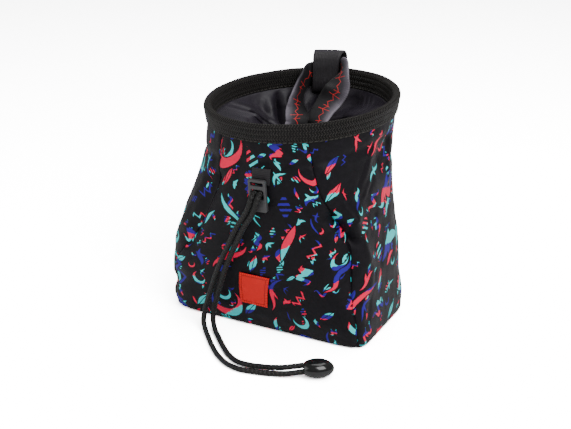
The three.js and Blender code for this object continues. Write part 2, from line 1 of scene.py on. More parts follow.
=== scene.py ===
"""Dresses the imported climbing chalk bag: finer cloth, tape, webbing, cord and fittings over the CAD frame.

Blender 4.5. Lengths in the tables are millimetres, as in the part's source, and meshes are made in metres.
"""

import math

import bpy
import numpy as np
from mathutils import Matrix


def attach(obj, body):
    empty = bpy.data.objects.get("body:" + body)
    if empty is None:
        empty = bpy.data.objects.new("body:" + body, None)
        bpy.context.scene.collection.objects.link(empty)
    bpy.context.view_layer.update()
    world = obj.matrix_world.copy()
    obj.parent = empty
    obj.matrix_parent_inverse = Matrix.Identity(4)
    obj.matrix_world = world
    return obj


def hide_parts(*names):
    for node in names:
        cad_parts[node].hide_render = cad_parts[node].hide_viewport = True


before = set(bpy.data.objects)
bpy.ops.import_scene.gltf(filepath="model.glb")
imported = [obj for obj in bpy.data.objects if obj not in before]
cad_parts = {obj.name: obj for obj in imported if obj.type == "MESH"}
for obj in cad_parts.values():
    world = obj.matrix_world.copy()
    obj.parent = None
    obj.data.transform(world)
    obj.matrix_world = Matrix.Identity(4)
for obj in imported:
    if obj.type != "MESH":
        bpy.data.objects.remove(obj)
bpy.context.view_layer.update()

MM = 0.001
TURN = 2 * math.pi

# The part's own sizes
HEIGHT = 146.5
MOUTH_RADIUS = 61.4
BASE_LENGTH = 137.5
BASE_DEPTH = 73.0
BASE_ROUND = 2.5
LEAN_X = 6.5
LEAN_Y = 3.8
RISE_X = 0.05
RISE_Y = 0.042
SHELL = 1.2
LINING = 1.0
TAPE = 1.1
WEBBING = 1.5
GAP = 0.3
LINING_SLACK = 1.6
LINING_WIDENING = 1.5
BAND_HEIGHT = 11.5
BAND_FLARE = 1.7
SLOT_DROP = 2.2
COLLAR_DEPTH = 40.0
COLLAR = 1.0
COLLAR_HANG = 6.4
LOOP_WIDTH = 20.0
LOOP_ANGLE = 98.0
LOOP_RISE = 11.6
STRAP_WIDTH = 16.0
LOCK_WIDTH = 11.4
LOCK_LENGTH = 20.5
LOCK_THICKNESS = 2.6
LOCK_BAR = 1.6
SLOT_LENGTH = 2.2
SLOT_WIDTH = 8.4
CROSSBAR = 2.4
WINDOW_WIDTH = 8.4
WINDOW_LENGTH = 6.2
LOCK_ANGLE = 274.0
LOCK_LEVEL = 0.749
TAB = 1.0
TAB_WIDTH = 11.0
TAB_RUN = 7.0
PATCH_WIDTH = 19.4
PATCH_HEIGHT = 23.0
PATCH = 1.0
PATCH_ANGLE = 270.2
PATCH_LEVEL = 0.2306
PATCH_LEAN = 2.6
CORD_DIAMETER = 3.4
END_LENGTH = 20.2
END_WIDTH = 14.2
END_HEIGHT = 11.2
END_FLAT = 2.0
END_DISH = 2.4
END_TURN = 30.0
END_X = 56.5
END_Y = -74.4

NECK_HEIGHT = HEIGHT - BAND_HEIGHT
NECK_RADIUS = MOUTH_RADIUS - BAND_FLARE - TAPE - GAP
BAND_OUTER = GAP + TAPE
BAND_INNER = -(SHELL + GAP + LINING + GAP + TAPE)
RIM_INSIDE = NECK_RADIUS + BAND_FLARE + BAND_INNER
STRAP_SEAT = RIM_INSIDE - GAP - WEBBING / 2
SHELL_TOP = 1 + (BAND_HEIGHT - SLOT_DROP - GAP) / NECK_HEIGHT
RIM_FADE = 0.08

SECTION_KEYS = ("level", "neckX", "neckY", "square", "leanX", "leanY", "swell")
SECTIONS = np.array([
    (0.0, 0.0, 0.0, 10.0, 0.0, 0.0, 0.0),
    (0.118, 0.0, 0.2, 6.8, -0.23, 0.05, 0.022),
    (0.245, 0.02, 0.35, 5.0, -0.36, 0.05, 0.02),
    (0.393, 0.2, 0.53, 4.0, -0.18, 0.2, 0.012),
    (0.54, 0.52, 0.68, 3.2, 0.02, 0.4, 0.004),
    (0.687, 0.84, 0.82, 2.6, 0.37, 0.65, 0.0),
    (0.834, 0.97, 0.92, 2.2, 0.7, 0.85, 0.0),
    (1.0, 1.0, 1.0, 2.0, 1.0, 1.0, 0.0),
])
SEAM_KEYS = ("level", "backRight", "backLeft", "frontLeft", "frontRight")
SEAMS = np.array([
    (0.0, 28, 152, 208, 332.5),
    (0.196, 30, 150, 210, 331),
    (0.393, 34, 145, 221, 330.5),
    (0.52, 38, 140, 229, 330),
    (0.638, 44, 134, 236.5, 320),
    (0.785, 52, 127, 240, 308.5),
    (1.0, 60, 120, 241, 300),
])

# Folds: from angle and level, to angle and level, reach and spread as shares of the neck's radius.
FOLDS = [
    (311, 0.844, 331, 0.628, 0.045, 0.1),
    (331, 0.628, 343, 0.294, 0.04, 0.13),
    (318, 0.648, 331, 0.52, -0.06, 0.07),
    (327, 0.451, 331, 0.275, -0.035, 0.12),
    (12, 0.883, -2, 0.844, -0.075, 0.15),
    (240, 0.785, 223, 0.412, -0.035, 0.1),
    (222, 0.648, 205, 0.393, 0.03, 0.22),
    (206, 0.137, 214, 0.196, -0.04, 0.08),
    (55, 0.824, 36, 0.491, -0.04, 0.12),
    (126, 0.785, 144, 0.451, -0.045, 0.12),
    (80, 0.412, 100, 0.353, -0.04, 0.3),
    (178, 0.609, 184, 0.491, -0.035, 0.25),
]

# Smaller creases that only the finished cloth has, in the same form.
CREASES = [
    (312, 0.83, 330, 0.63, 0.022, 0.04),
    (330, 0.63, 341, 0.42, 0.016, 0.045),
    (320, 0.64, 331, 0.525, -0.034, 0.032),
    (331, 0.525, 329, 0.33, -0.016, 0.04),
    (308, 0.86, 322, 0.7, -0.014, 0.035),
    (240, 0.78, 224, 0.42, -0.02, 0.04),
    (232, 0.7, 220, 0.46, 0.014, 0.04),
    (356, 0.93, 2, 0.76, -0.02, 0.05),
    (350, 0.84, 340, 0.7, 0.014, 0.035),
    (340, 0.86, 333, 0.74, -0.013, 0.03),
    (18, 0.86, 8, 0.7, 0.016, 0.05),
    (346, 0.34, 340, 0.14, -0.012, 0.04),
    (352, 0.883, 344, 0.726, -0.016, 0.05),
    (345, 0.913, 338, 0.785, 0.012, 0.045),
    (6, 0.785, 350, 0.648, -0.014, 0.06),
    (338, 0.707, 352, 0.589, -0.014, 0.05),
    (345, 0.51, 356, 0.353, -0.01, 0.06),
    (322, 0.491, 326, 0.353, -0.012, 0.05),
    (334, 0.393, 337, 0.157, 0.01, 0.05),
    (236, 0.844, 230, 0.667, -0.014, 0.05),
    (228, 0.726, 216, 0.51, 0.012, 0.05),
    (215, 0.609, 206, 0.432, -0.012, 0.05),
    (212, 0.393, 203, 0.255, -0.012, 0.05),
    (205, 0.216, 199, 0.118, -0.014, 0.05),
    (216, 0.294, 209, 0.196, 0.012, 0.05),
    (262, 0.923, 256, 0.785, -0.007, 0.07),
    (286, 0.903, 292, 0.746, -0.007, 0.08),
    (300, 0.589, 288, 0.471, -0.006, 0.1),
    (250, 0.491, 262, 0.393, -0.006, 0.1),
    (70, 0.864, 60, 0.648, -0.014, 0.06),
    (110, 0.844, 120, 0.589, -0.014, 0.06),
    (90, 0.589, 96, 0.294, -0.01, 0.09),
    (150, 0.687, 162, 0.393, -0.012, 0.07),
    (196, 0.726, 190, 0.491, -0.012, 0.07),
    (20, 0.491, 24, 0.196, -0.01, 0.07),
]

COLLAR_LEANS = [
    (178, 34, 0.34),
    (138, 12, 0.07),
    (110, 10, 0.04),
    (48, 18, 0.12),
    (8, 12, 0.08),
    (328, 24, 0.2),
    (268, 26, 0.14),
]

# Gathers of the collar: from angle and share of its depth, to angle and share, reach inwards and spread.
GATHERS = [
    (205, 0.1, 226, 0.85, 3.0, 8.0),
    (191, 0.12, 204, 0.6, -1.8, 3.5),
    (168, 0.3, 160, 0.9, -2.5, 4.0),
    (141, 0.12, 139, 0.9, 4.0, 4.0),
    (134, 0.1, 133, 0.8, -3.5, 2.4),
    (128, 0.12, 127, 0.9, 4.0, 4.0),
    (121, 0.15, 120, 1.0, -3.5, 3.0),
    (113, 0.2, 112, 1.0, 3.2, 4.5),
    (104, 0.1, 102, 0.7, -2.8, 3.0),
    (97, 0.08, 99, 0.6, 2.6, 3.0),
    (88, 0.1, 90, 0.8, 2.4, 4.0),
    (74, 0.2, 78, 1.0, -2.2, 5.0),
    (66, 0.04, 63, 0.2, 1.4, 1.6),
    (61, 0.03, 58, 0.22, 1.6, 1.5),
    (56, 0.03, 53, 0.2, 1.3, 1.5),
    (50, 0.3, 54, 1.0, 2.0, 6.5),
    (34, 0.1, 30, 0.8, -1.6, 4.0),
    (26, 0.15, 20, 0.75, 1.5, 3.5),
    (16, 0.1, 10, 0.8, -1.6, 4.0),
    (4, 0.3, 350, 1.0, 2.6, 6.0),
    (334, 0.2, 326, 1.0, -2.2, 6.0),
    (300, 0.2, 304, 1.0, 2.4, 7.0),
    (276, 0.2, 270, 1.0, -2.2, 6.0),
    (250, 0.2, 246, 1.0, 2.4, 6.0),
]

# Places where the collar folds over itself: the fold's line from angle and share to angle and share,
# how far the cloth below the line stands further in, how sharp the fold is, and its middle and reach round.
FLAPS = [
    (183, 0.0, 138, 0.85, 9.5, 0.8, 198, 62),
    (171, 0.02, 131, 0.58, 7.0, 0.8, 174, 58),
    (88, 0.4, 36, 0.12, 6.5, 0.8, 60, 34),
]

# Belt loop: across the rim, out in webbing thicknesses, up as a share of the rise or of the band.
LOOP_PATH = [
    (0, -0.75, -1.32),
    (0, -2.6, -1.13),
    (0, -3.5, -0.7),
    (0, -3.7, -0.2),
    (0, -3.5, 0.45),
    (0, -2.6, 0.8),
    (0.1, 0, 0.98),
    (0.7, 0, 0.94),
    (1, 0.4, 0.7),
    (1, 0.75, 0.35),
    (1, 0.75, 0.0),
    (1, 0.75, -0.5),
    (1, 0.75, -1.0),
]

# Strap: angle, reach, up, and the heading and slope of its width.
STRAP_PATH = [
    (97, 0.52, -1.12, 90, 0),
    (115, 0.56, -1.02, 90, 0),
    (126, 0.57, -0.82, 78, 0),
    (126, 0.53, -0.62, 40, 5),
    (122, 0.5, -0.45, 8, 6),
    (121, 0.68, -0.345, 62, -12),
    (121, 0.745, -0.275, 80, -20),
    (119, 0.79, -0.2, 88, -32),
    (115, 0.855, -0.11, 94, -50),
    (109.5, 0.94, -0.045, 280, -88),
    (98, 0.98, -0.035, 278, -84),
    (88, 0.965, -0.025, 268, -84),
    (82, 0.86, 0.045, 118, -40),
    (80, 0.785, 0.03, 135, -16),
    (78, 0.71, -0.03, 162, -8),
    (77, 0.65, -0.11, 194, 2),
    (83, 0.59, -0.235, 188, 7),
    (86, 0.48, -0.32, 172, 6),
    (85, 0.36, -0.42, 154, 0),
    (84, 0.36, -0.62, 125, 0),
    (80, 0.44, -0.86, 98, 0),
]

STRAP_CROSSING = 10  # the row where the strap passes through the belt loop
STRAP_SAMPLES = 20  # between two rows

LEFT_STRAND = [
    (5.3, -53.4, 102.0), (5.2, -56.6, 101.2), (4.7, -59.1, 98.4), (3.7, -60.1, 94.0), (0.7, -59.6, 88.0),
    (-5.2, -57.9, 79.2), (-14.0, -55.8, 62.6), (-23.4, -53.4, 43.2), (-30.8, -51.6, 23.4),
    (-34.0, -51.4, 13.6), (-34.2, -53.8, 5.8), (-30.0, -58.6, 2.2), (-24.4, -64.8, 1.8),
    (-16.4, -73.6, 1.8), (-7.2, -82.2, 1.8), (2.7, -88.5, 1.8), (12.4, -90.8, 1.8),
    (22.0, -89.4, 1.8), (31.5, -86.9, 1.9), (40.3, -84.2, 2.6), (45.5, -82.0, 3.5), (49.8, -79.7, 4.2),
]
RIGHT_STRAND = [
    (9.3, -53.4, 102.0), (9.2, -56.6, 101.2), (8.8, -59.1, 98.4), (7.8, -60.1, 94.0), (5.1, -59.6, 88.0),
    (-0.6, -57.9, 79.8), (-9.2, -55.6, 63.6), (-18.2, -53.0, 44.4), (-25.2, -50.6, 24.6),
    (-28.2, -49.9, 14.6), (-28.4, -51.6, 6.8), (-24.8, -55.6, 2.5), (-18.8, -61.8, 1.8),
    (-10.6, -70.4, 1.8), (-1.8, -78.4, 1.8), (7.0, -83.4, 1.8), (15.6, -83.8, 1.8),
    (24.0, -82.4, 2.1), (31.5, -82.6, 3.6), (39.0, -81.8, 5.3), (44.3, -79.8, 6.4), (48.6, -77.5, 7.0),
]


# Shape functions, the same as in the part's source.

def column_at(rows, keys, key, level):
    levels = rows[:, 0]
    values = rows[:, keys.index(key)].astype(float)
    level = np.clip(np.asarray(level, float), levels[0], levels[-1])
    step = np.diff(values) / np.diff(levels)
    slope = np.zeros(len(levels))
    slope[0] = step[0]
    slope[-1] = step[-1]
    both = step[:-1] * step[1:]
    total = step[:-1] + step[1:]
    slope[1:-1] = np.where(both > 0, 2 * both / np.where(total == 0, 1, total), 0)
    i = np.clip(np.searchsorted(levels, level, side="left") - 1, 0, len(levels) - 2)
    run = levels[i + 1] - levels[i]
    t = (level - levels[i]) / run
    return (
        values[i] * (1 + 2 * t) * (1 - t) ** 2
        + slope[i] * run * t * (1 - t) ** 2
        + values[i + 1] * t * t * (3 - 2 * t)
        - slope[i + 1] * run * t * t * (1 - t)
    )


def section(key, level):
    return column_at(SECTIONS, SECTION_KEYS, key, level)


def seam(key, level):
    return column_at(SEAMS, SEAM_KEYS, key, level)


def turn_between(angle, other):
    return (angle - other + 180) % 360 - 180


def fold_reach(angle, level, widening=1.0, rows=FOLDS):
    tall = NECK_HEIGHT / NECK_RADIUS
    t = np.clip((1 - level) / RIM_FADE, 0, 1)
    fade = t * t * (3 - 2 * t)
    total = 0
    for a0, l0, a1, l1, reach, wide in rows:
        along_x = math.radians(a1 - a0)
        along_y = (l1 - l0) * tall
        x = np.radians(turn_between(angle, a0))
        y = (level - l0) * tall
        s = np.clip((x * along_x + y * along_y) / (along_x ** 2 + along_y ** 2), 0, 1)
        away = np.hypot(x - along_x * s, y - along_y * s) / (wide * widening)
        total = total + reach * NECK_RADIUS * fade * np.exp(-(away ** 2))
    return total


def rim_point(angle, radius, drop):
    x = radius * np.cos(np.radians(angle))
    y = radius * np.sin(np.radians(angle))
    z = HEIGHT + RISE_X * x + RISE_Y * y - drop
    return np.stack(np.broadcast_arrays(LEAN_X + x, LEAN_Y + y, z), -1)


def flared_radius(drop):
    return NECK_RADIUS + BAND_FLARE * (1 - drop / BAND_HEIGHT)


def skin(angle, level, inset=0.0, reach=None):
    angle, level, inset = np.broadcast_arrays(
        np.asarray(angle, float), np.asarray(level, float), np.asarray(inset, float)
    )
    if reach is None:
        reach = fold_reach(angle, level)
    height = level * NECK_HEIGHT
    low = np.minimum(level, 1.0)
    under = np.clip(1 - height / BASE_ROUND, 0, 1)
    turned = BASE_ROUND * (1 - np.sqrt(1 - under ** 2))
    swell = 1 + section("swell", low)
    half_x = (BASE_LENGTH / 2 + (NECK_RADIUS - BASE_LENGTH / 2) * section("neckX", low)) * swell
    half_y = (BASE_DEPTH / 2 + (NECK_RADIUS - BASE_DEPTH / 2) * section("neckY", low)) * swell
    square = section("square", low)
    cosine = np.abs(np.cos(np.radians(angle))) / (half_x - inset - turned)
    sine = np.abs(np.sin(np.radians(angle))) / (half_y - inset - turned)
    radius = (cosine ** square + sine ** square) ** (-1 / square) + reach
    x = LEAN_X * section("leanX", low) + radius * np.cos(np.radians(angle))
    y = LEAN_Y * section("leanY", low) + radius * np.sin(np.radians(angle))
    slope = RISE_X * (x - LEAN_X) + RISE_Y * (y - LEAN_Y)
    lower = np.stack([x, y, height + slope * low * low], -1)
    drop = HEIGHT - height
    upper = rim_point(angle, flared_radius(drop) - inset, drop)
    return np.where((level > 1)[..., None], upper, lower)


def catmull(points, closed, samples):
    """Points along the centripetal Catmull-Rom curve, at equal steps of its parameter."""
    p = [np.asarray(q, float) for q in points]
    count = len(p)
    out = []
    for t in samples:
        place = t * (count if closed else count - 1)
        i = int(math.floor(place))
        w = place - i
        if not closed and i >= count - 1:
            i, w = count - 2, 1.0
        if closed:
            q = [p[(i + k - 1) % count] for k in range(4)]
        else:
            first = p[i - 1] if i > 0 else 2 * p[0] - p[1]
            last = p[i + 2] if i + 2 < count else 2 * p[-1] - p[-2]
            q = [first, p[i], p[i + 1], last]
        d = [max(np.linalg.norm(q[k + 1] - q[k]) ** 0.5, 1e-4) for k in range(3)]
        t0 = ((q[1] - q[0]) / d[0] - (q[2] - q[0]) / (d[0] + d[1]) + (q[2] - q[1]) / d[1]) * d[1]
        t1 = ((q[2] - q[1]) / d[1] - (q[3] - q[1]) / (d[1] + d[2]) + (q[3] - q[2]) / d[2]) * d[1]
        out.append(
            q[1] + t0 * w
            + (-3 * q[1] + 3 * q[2] - 2 * t0 - t1) * w * w
            + (2 * q[1] - 2 * q[2] + t0 + t1) * w ** 3
        )
    return np.array(out)


def ripple(x, y, seed):
    """A smooth, repeatable unevenness of about -1 to 1 over two lengths in millimetres."""
    total = 0
    for k, (long, part) in enumerate([(31.0, 0.45), (17.0, 0.3), (9.0, 0.25)]):
        a = 1.9 * seed + 2.3 * k
        total = total + part * np.sin(2 * np.pi * (x * math.cos(a) + y * math.sin(a)) / long + 5 * a)
        total = total + part * np.sin(2 * np.pi * (y * math.cos(a) - x * math.sin(a)) / (long * 1.3) + 3 * a)
    return total / 1.4


# Mesh helpers

def mesh_object(name, points, faces, uv):
    """A mesh from points in millimetres. uv holds one pair for each corner of each face, in turn."""
    mesh = bpy.data.meshes.new(name)
    mesh.from_pydata([tuple(p) for p in np.asarray(points, float) * MM], [], faces)
    layer = mesh.uv_layers.new(name="UVMap")
    layer.data.foreach_set("uv", np.asarray(uv, np.float32).ravel())
    mesh.polygons.foreach_set("use_smooth", [True] * len(mesh.polygons))
    mesh.validate()
    mesh.update()
    obj = bpy.data.objects.new(name, mesh)
    bpy.context.scene.collection.objects.link(obj)
    return obj


def grid_object(name, points, uv, close_u=False, close_v=False):
    """A surface from a grid of points: rows go up, columns go round, seen from outside."""
    rows, columns = points.shape[:2]
    faces = []
    corners = []
    for i in range(rows if close_v else rows - 1):
        k = (i + 1) % rows
        for j in range(columns if close_u else columns - 1):
            m = (j + 1) % columns
            faces.append((i * columns + j, i * columns + m, k * columns + m, k * columns + j))
            for r, c in ((i, j), (i, j + 1), (i + 1, j + 1), (i + 1, j)):
                corners.append(uv[r, c])
    return mesh_object(name, points.reshape(-1, 3), faces, corners)


def thicken(obj, thickness, bevel=0.0):
    solid = obj.modifiers.new("thickness", "SOLIDIFY")
    solid.thickness = thickness * MM
    solid.offset = -1
    solid.use_even_offset = False
    if bevel:
        edge = obj.modifiers.new("edge", "BEVEL")
        edge.width = bevel * MM
        edge.segments = 2
        edge.limit_method = "ANGLE"
        edge.angle_limit = math.radians(60)
    return obj


def arc_lengths(points, axis):
    """Distance along the grid's rows (axis 1) or columns (axis 0), from the first point."""
    step = np.linalg.norm(np.diff(points, axis=axis), axis=-1)
    pad = [(1, 0), (0, 0)] if axis == 0 else [(0, 0), (1, 0)]
    return np.cumsum(np.pad(step, pad), axis=axis)


def finish_piece(obj, material, slot, *nodes):
    obj.data.materials.clear()
    obj.data.materials.append(material)
    if nodes:
        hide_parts(*nodes)
    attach(obj, "root")
    return obj


def axes_matrix(right, up, back, place):
    """The matrix that turns an object's own axes to three directions and moves it to a place."""
    matrix = Matrix.Identity(4)
    for i in range(3):
        matrix[i][0], matrix[i][1], matrix[i][2], matrix[i][3] = right[i], up[i], back[i], place[i]
    return matrix


# Shader helpers: sums on sockets read as sums.

class Value:
    """A shader's output, whose sums and comparisons add nodes to the tree."""

    def __init__(self, tree, socket):
        self.tree = tree
        self.socket = socket

    def op(self, operation, *others, clamp=False):
        node = self.tree.nodes.new("ShaderNodeMath")
        node.operation = operation
        node.use_clamp = clamp
        feed(self.tree, node, (self, *others))
        return Value(self.tree, node.outputs[0])

    def clamped(self):
        return self.op("ADD", 0.0, clamp=True)


def feed(tree, node, values):
    """Gives a node's inputs in turn a link or a number."""
    for i, value in enumerate(values):
        if isinstance(value, Value):
            tree.links.new(value.socket, node.inputs[i])
        else:
            node.inputs[i].default_value = value


def value_method(operation):
    return lambda value, *others: value.op(operation, *others)


VALUE_METHODS = {
    "__add__": "ADD",
    "__sub__": "SUBTRACT",
    "__mul__": "MULTIPLY",
    "__truediv__": "DIVIDE",
    "__abs__": "ABSOLUTE",
    "sin": "SINE",
    "cos": "COSINE",
    "floor": "FLOOR",
    "frac": "FRACT",
    "sqrt": "SQRT",
    "most": "MAXIMUM",
    "least": "MINIMUM",
    "below": "LESS_THAN",
    "above": "GREATER_THAN",
}
for method, operation in VALUE_METHODS.items():
    setattr(Value, method, value_method(operation))


class Shader:
    """A material with one Principled shader and helpers for its nodes."""

    def __init__(self, name, **inputs):
        self.material = bpy.data.materials.new(name)
        self.material.use_nodes = True
        self.tree = self.material.node_tree
        self.main = self.tree.nodes["Principled BSDF"]
        for key, value in inputs.items():
            self.main.inputs[key.replace("_", " ")].default_value = value

    def node(self, kind, **values):
        node = self.tree.nodes.new("ShaderNode" + kind)
        for key, value in values.items():
            setattr(node, key, value)
        return node

    def value(self, socket):
        return Value(self.tree, socket)

    def uv(self):
        """The two millimetre coordinates of the piece's own map."""
        split = self.node("SeparateXYZ")
        self.tree.links.new(self.node("UVMap", uv_map="UVMap").outputs["UV"], split.inputs[0])
        return self.value(split.outputs[0]), self.value(split.outputs[1])

    def combine(self, x, y, z=0.0):
        node = self.node("CombineXYZ")
        feed(self.tree, node, (x, y, z))
        return node.outputs[0]

    def noise(self, vector, scale, detail=2.0):
        node = self.node("TexNoise")
        node.inputs["Scale"].default_value = scale
        node.inputs["Detail"].default_value = detail
        self.tree.links.new(vector, node.inputs["Vector"])
        return self.value(node.outputs["Fac"])

    def random(self, vector):
        """Four random values for a vector."""
        node = self.node("TexWhiteNoise", noise_dimensions="3D")
        self.tree.links.new(vector, node.inputs["Vector"])
        split = self.node("SeparateColor")
        self.tree.links.new(node.outputs["Color"], split.inputs[0])
        return [self.value(node.outputs["Value"])] + [self.value(s) for s in split.outputs]

    def ramp(self, value, stops, mode="LINEAR"):
        node = self.node("ValToRGB")
        node.color_ramp.interpolation = mode
        elements = node.color_ramp.elements
        while len(elements) < len(stops):
            elements.new(0.5)
        for element, (place, colour) in zip(elements, stops):
            element.position = place
            element.color = (*colour, 1)
        self.tree.links.new(value.socket, node.inputs[0])
        return node.outputs[0]

    def mix(self, share, first, second):
        node = self.node("Mix", data_type="RGBA")
        self.tree.links.new(share.socket, node.inputs["Factor"])
        for socket, colour in ((node.inputs[6], first), (node.inputs[7], second)):
            if isinstance(colour, tuple):
                socket.default_value = (*colour, 1)
            else:
                self.tree.links.new(colour, socket)
        return node.outputs[2]

    def set(self, name, source):
        self.tree.links.new(source.socket if isinstance(source, Value) else source, self.main.inputs[name])

    def bump(self, height, distance, strength=1.0):
        node = self.node("Bump")
        node.inputs["Distance"].default_value = distance * MM
        node.inputs["Strength"].default_value = strength
        self.tree.links.new(height.socket, node.inputs["Height"])
        self.tree.links.new(node.outputs[0], self.main.inputs["Normal"])


def fabric(name, roughness, sheen, sheen_roughness, specular):
    """A cloth's shader, dull and with a little sheen."""
    return Shader(
        name,
        Roughness=roughness,
        Sheen_Weight=sheen,
        Sheen_Roughness=sheen_roughness,
        Specular_IOR_Level=specular,
    )


def choose(share, first, second):
    """The first value where share is 0 and the second where it is 1."""
    return first + (second - first) * share


AQUA = (0.035, 0.76, 0.78)
PINK = (0.98, 0.006, 0.07)
INDIGO = (0.026, 0.01, 0.3)


def motif_layer(shader, u, v, cell, seed, density, rough, width):
    """Brush marks, one to a cell: how far each point is outside a mark in cells, and the mark's colour."""
    column = (u / cell + seed * 0.37).floor()
    shift = (column * 0.5).frac() * 1.1
    row = (v / cell + shift).floor()
    x = (u / cell + seed * 0.37 - column - 0.5) * 2.0
    y = (v / cell + shift - row - 0.5) * 2.0
    kind, r1, r2, r3 = shader.random(shader.combine(column, row, seed))
    here, r4, r5, r6 = shader.random(shader.combine(column, row, seed + 7.7))
    x = x - (r1 - 0.5) * 0.24
    y = y - (r2 - 0.5) * 0.24
    turn = (r3 - 0.5) * 1.7 + 1.2
    cosine, sine = turn.cos(), turn.sin()
    scale = r4 * 0.3 + 0.78
    px = (x * cosine + y * sine) / scale
    py = (y * cosine - x * sine) / scale
    edge = (shader.noise(shader.combine(u, v, seed), 1.1, 3.0) - 0.5) * rough

    bend = r5 * 0.34 + 0.08
    waves = r6.above(0.7) * 4.6 + 2.5
    phase = r1 * 6.28
    arg = px * waves + phase
    slope = bend * waves * arg.cos()
    swash_away = abs(py - bend * arg.sin()) / (slope * slope + 1.0).sqrt()
    thick = (r2 * 0.16 + 0.06) * width
    taper = (px / 0.84 * px / 0.84) * -1.0 + 1.0
    swash = swash_away - thick * taper
    cross_x = px * 0.35 + py * 0.94 - 0.18
    cross_y = px * 0.94 - py * 0.35 - r3 * 0.5 + 0.2
    cross_bow = cross_y - (cross_x * cross_x) * (r4 - 0.2)
    second = abs(cross_bow) - thick * 0.7 * ((cross_x / 0.5 * cross_x / 0.5) * -1.0 + 1.0)
    swash = swash.least(second + r5.below(0.35) * 3.0)

    radius = (px * px + py * py).sqrt()
    hx, hy = px - 0.2, py - 0.1
    hollow = (hx * hx + hy * hy).sqrt() * -1.0 + 0.53
    moon = (radius - 0.66).most(hollow)

    leaf_body = abs(py) - ((px / 0.8 * px / 0.8) * -1.0 + 1.0) * 0.27
    leaf = leaf_body.most(abs(py - px * 0.08) * -1.0 + 0.03)

    zig = (abs((px * 1.5 + r5).frac() - 0.5) * 4.0 - 1.0) * 0.24
    zigzag = (abs(py - zig) * 0.62 - 0.05 * width).most(abs(px) - 0.72)

    lane = ((px + py * 0.3) * 2.3).frac() - 0.5
    ticks = (abs(lane) / 2.3 - 0.075 * width).most(abs(py) + abs(px) * 0.5 - 0.5)

    away = choose(kind.above(0.52), swash, moon)
    away = choose(kind.above(0.64), away, leaf)
    away = choose(kind.above(0.74), away, zigzag)
    away = choose(kind.above(0.9), away, ticks)
    away = away + edge + here.above(density) * 3.0
    bands = (py * 0.42 + px * 0.3 + edge * 2.0 + 0.5) * (r6.above(0.45) * 1.15 + 0.1)
    tint = (bands + r4 * 7.0).frac()
    return away, tint


def print_material():
    shader = fabric("print_cloth", 0.5, 0.03, 0.35, 0.17)
    shader.main.inputs["Sheen Tint"].default_value = (0.55, 0.45, 0.6, 1)
    u, v = shader.uv()
    third = [(0.0, AQUA), (0.36, PINK), (0.69, INDIGO)]
    big, big_tint = motif_layer(shader, u, v, 38.0, 3.0, 0.62, 0.05, 1.15)
    middle, middle_tint = motif_layer(shader, u, v, 18.0, 5.0, 0.95, 0.07, 1.25)
    small, small_tint = motif_layer(shader, u, v, 10.0, 9.0, 0.5, 0.1, 1.3)
    clear_of_big = big.above(0.05)
    clear_of_middle = middle.above(0.1)
    small_mask = small.below(0.0) * clear_of_big * clear_of_middle
    middle_mask = middle.below(0.0) * clear_of_big
    big_mask = big.below(0.0)
    grain = shader.noise(shader.combine(u, v, 1.0), 0.35, 4.0)
    weave = (u * 15.0).sin() * 0.5 + (v * 15.0).sin() * 0.5
    ground = shader.ramp(grain, [(0.3, (0.0018, 0.0013, 0.0026)), (0.75, (0.005, 0.0036, 0.0066))])
    colour = shader.mix(small_mask, ground, shader.ramp(small_tint, third, "CONSTANT"))
    colour = shader.mix(middle_mask, colour, shader.ramp(middle_tint, third, "CONSTANT"))
    colour = shader.mix(big_mask, colour, shader.ramp(big_tint, third, "CONSTANT"))
    shader.set("Base Color", colour)
    shader.bump(weave * 0.5 + grain * 3.0, 0.12, 0.5)
    return shader.material


def nylon_material():
    shader = fabric("nylon", 0.4, 0.04, 0.3, 0.26)
    shader.main.inputs["Sheen Tint"].default_value = (0.75, 0.68, 0.8, 1)
    u, v = shader.uv()
    grain = shader.noise(shader.combine(u, v, 4.0), 0.12, 4.0)
    thread = (u * 18.0).sin() + (v * 18.0).sin()
    crinkle = shader.noise(shader.combine(u, v * 0.6, 14.0), 0.45, 4.0)
    shader.set("Base Color", shader.ramp(grain, [(0.3, (0.013, 0.011, 0.0155)), (0.7, (0.021, 0.0175, 0.025))]))
    shader.bump(thread * 0.08 + grain * 1.5 + crinkle * 2.2, 0.25, 0.5)
    return shader.material


def tape_material():
    shader = fabric("rim_tape", 0.5, 0.03, 0.5, 0.16)
    shader.main.inputs["Sheen Tint"].default_value = (0.85, 0.8, 0.7, 1)
    u, v = shader.uv()
    lane = v / 1.6
    side = (lane * 0.5).frac().above(0.5) * 2.0 - 1.0
    thread = ((u / 1.7 + (lane.frac() - 0.5) * side * 0.8) * TURN).sin()
    groove = abs(lane.frac() - 0.5) * 2.0
    grain = shader.noise(shader.combine(u, v, 2.0), 1.6, 3.0)
    tone = (thread * 0.46 - groove * groove * 0.3 + grain * 0.9 - 0.04).clamped()
    shader.set("Base Color", shader.ramp(tone, [
        (0.2, (0.0008, 0.0007, 0.0008)), (0.6, (0.0085, 0.0075, 0.008)), (1.0, (0.06, 0.054, 0.05)),
    ]))
    shader.bump(thread * 0.9 - groove * 0.6 + grain * 0.8, 0.45, 1.0)
    return shader.material


def webbing_material():
    shader = fabric("belt_webbing", 0.5, 0.04, 0.4, 0.3)
    u, v = shader.uv()
    rib = (v * 5.2).sin()
    cross = (u * 9.0).sin()
    grain = shader.noise(shader.combine(u, v, 6.0), 0.6, 3.0)
    tone = (rib * 0.3 + cross * 0.1 + grain * 0.8).clamped()
    shader.set("Base Color", shader.ramp(tone, [(0.1, (0.009, 0.008, 0.0095)), (0.9, (0.024, 0.021, 0.025))]))
    shader.bump(rib * 0.6 + cross * 0.25, 0.2, 0.6)
    return shader.material


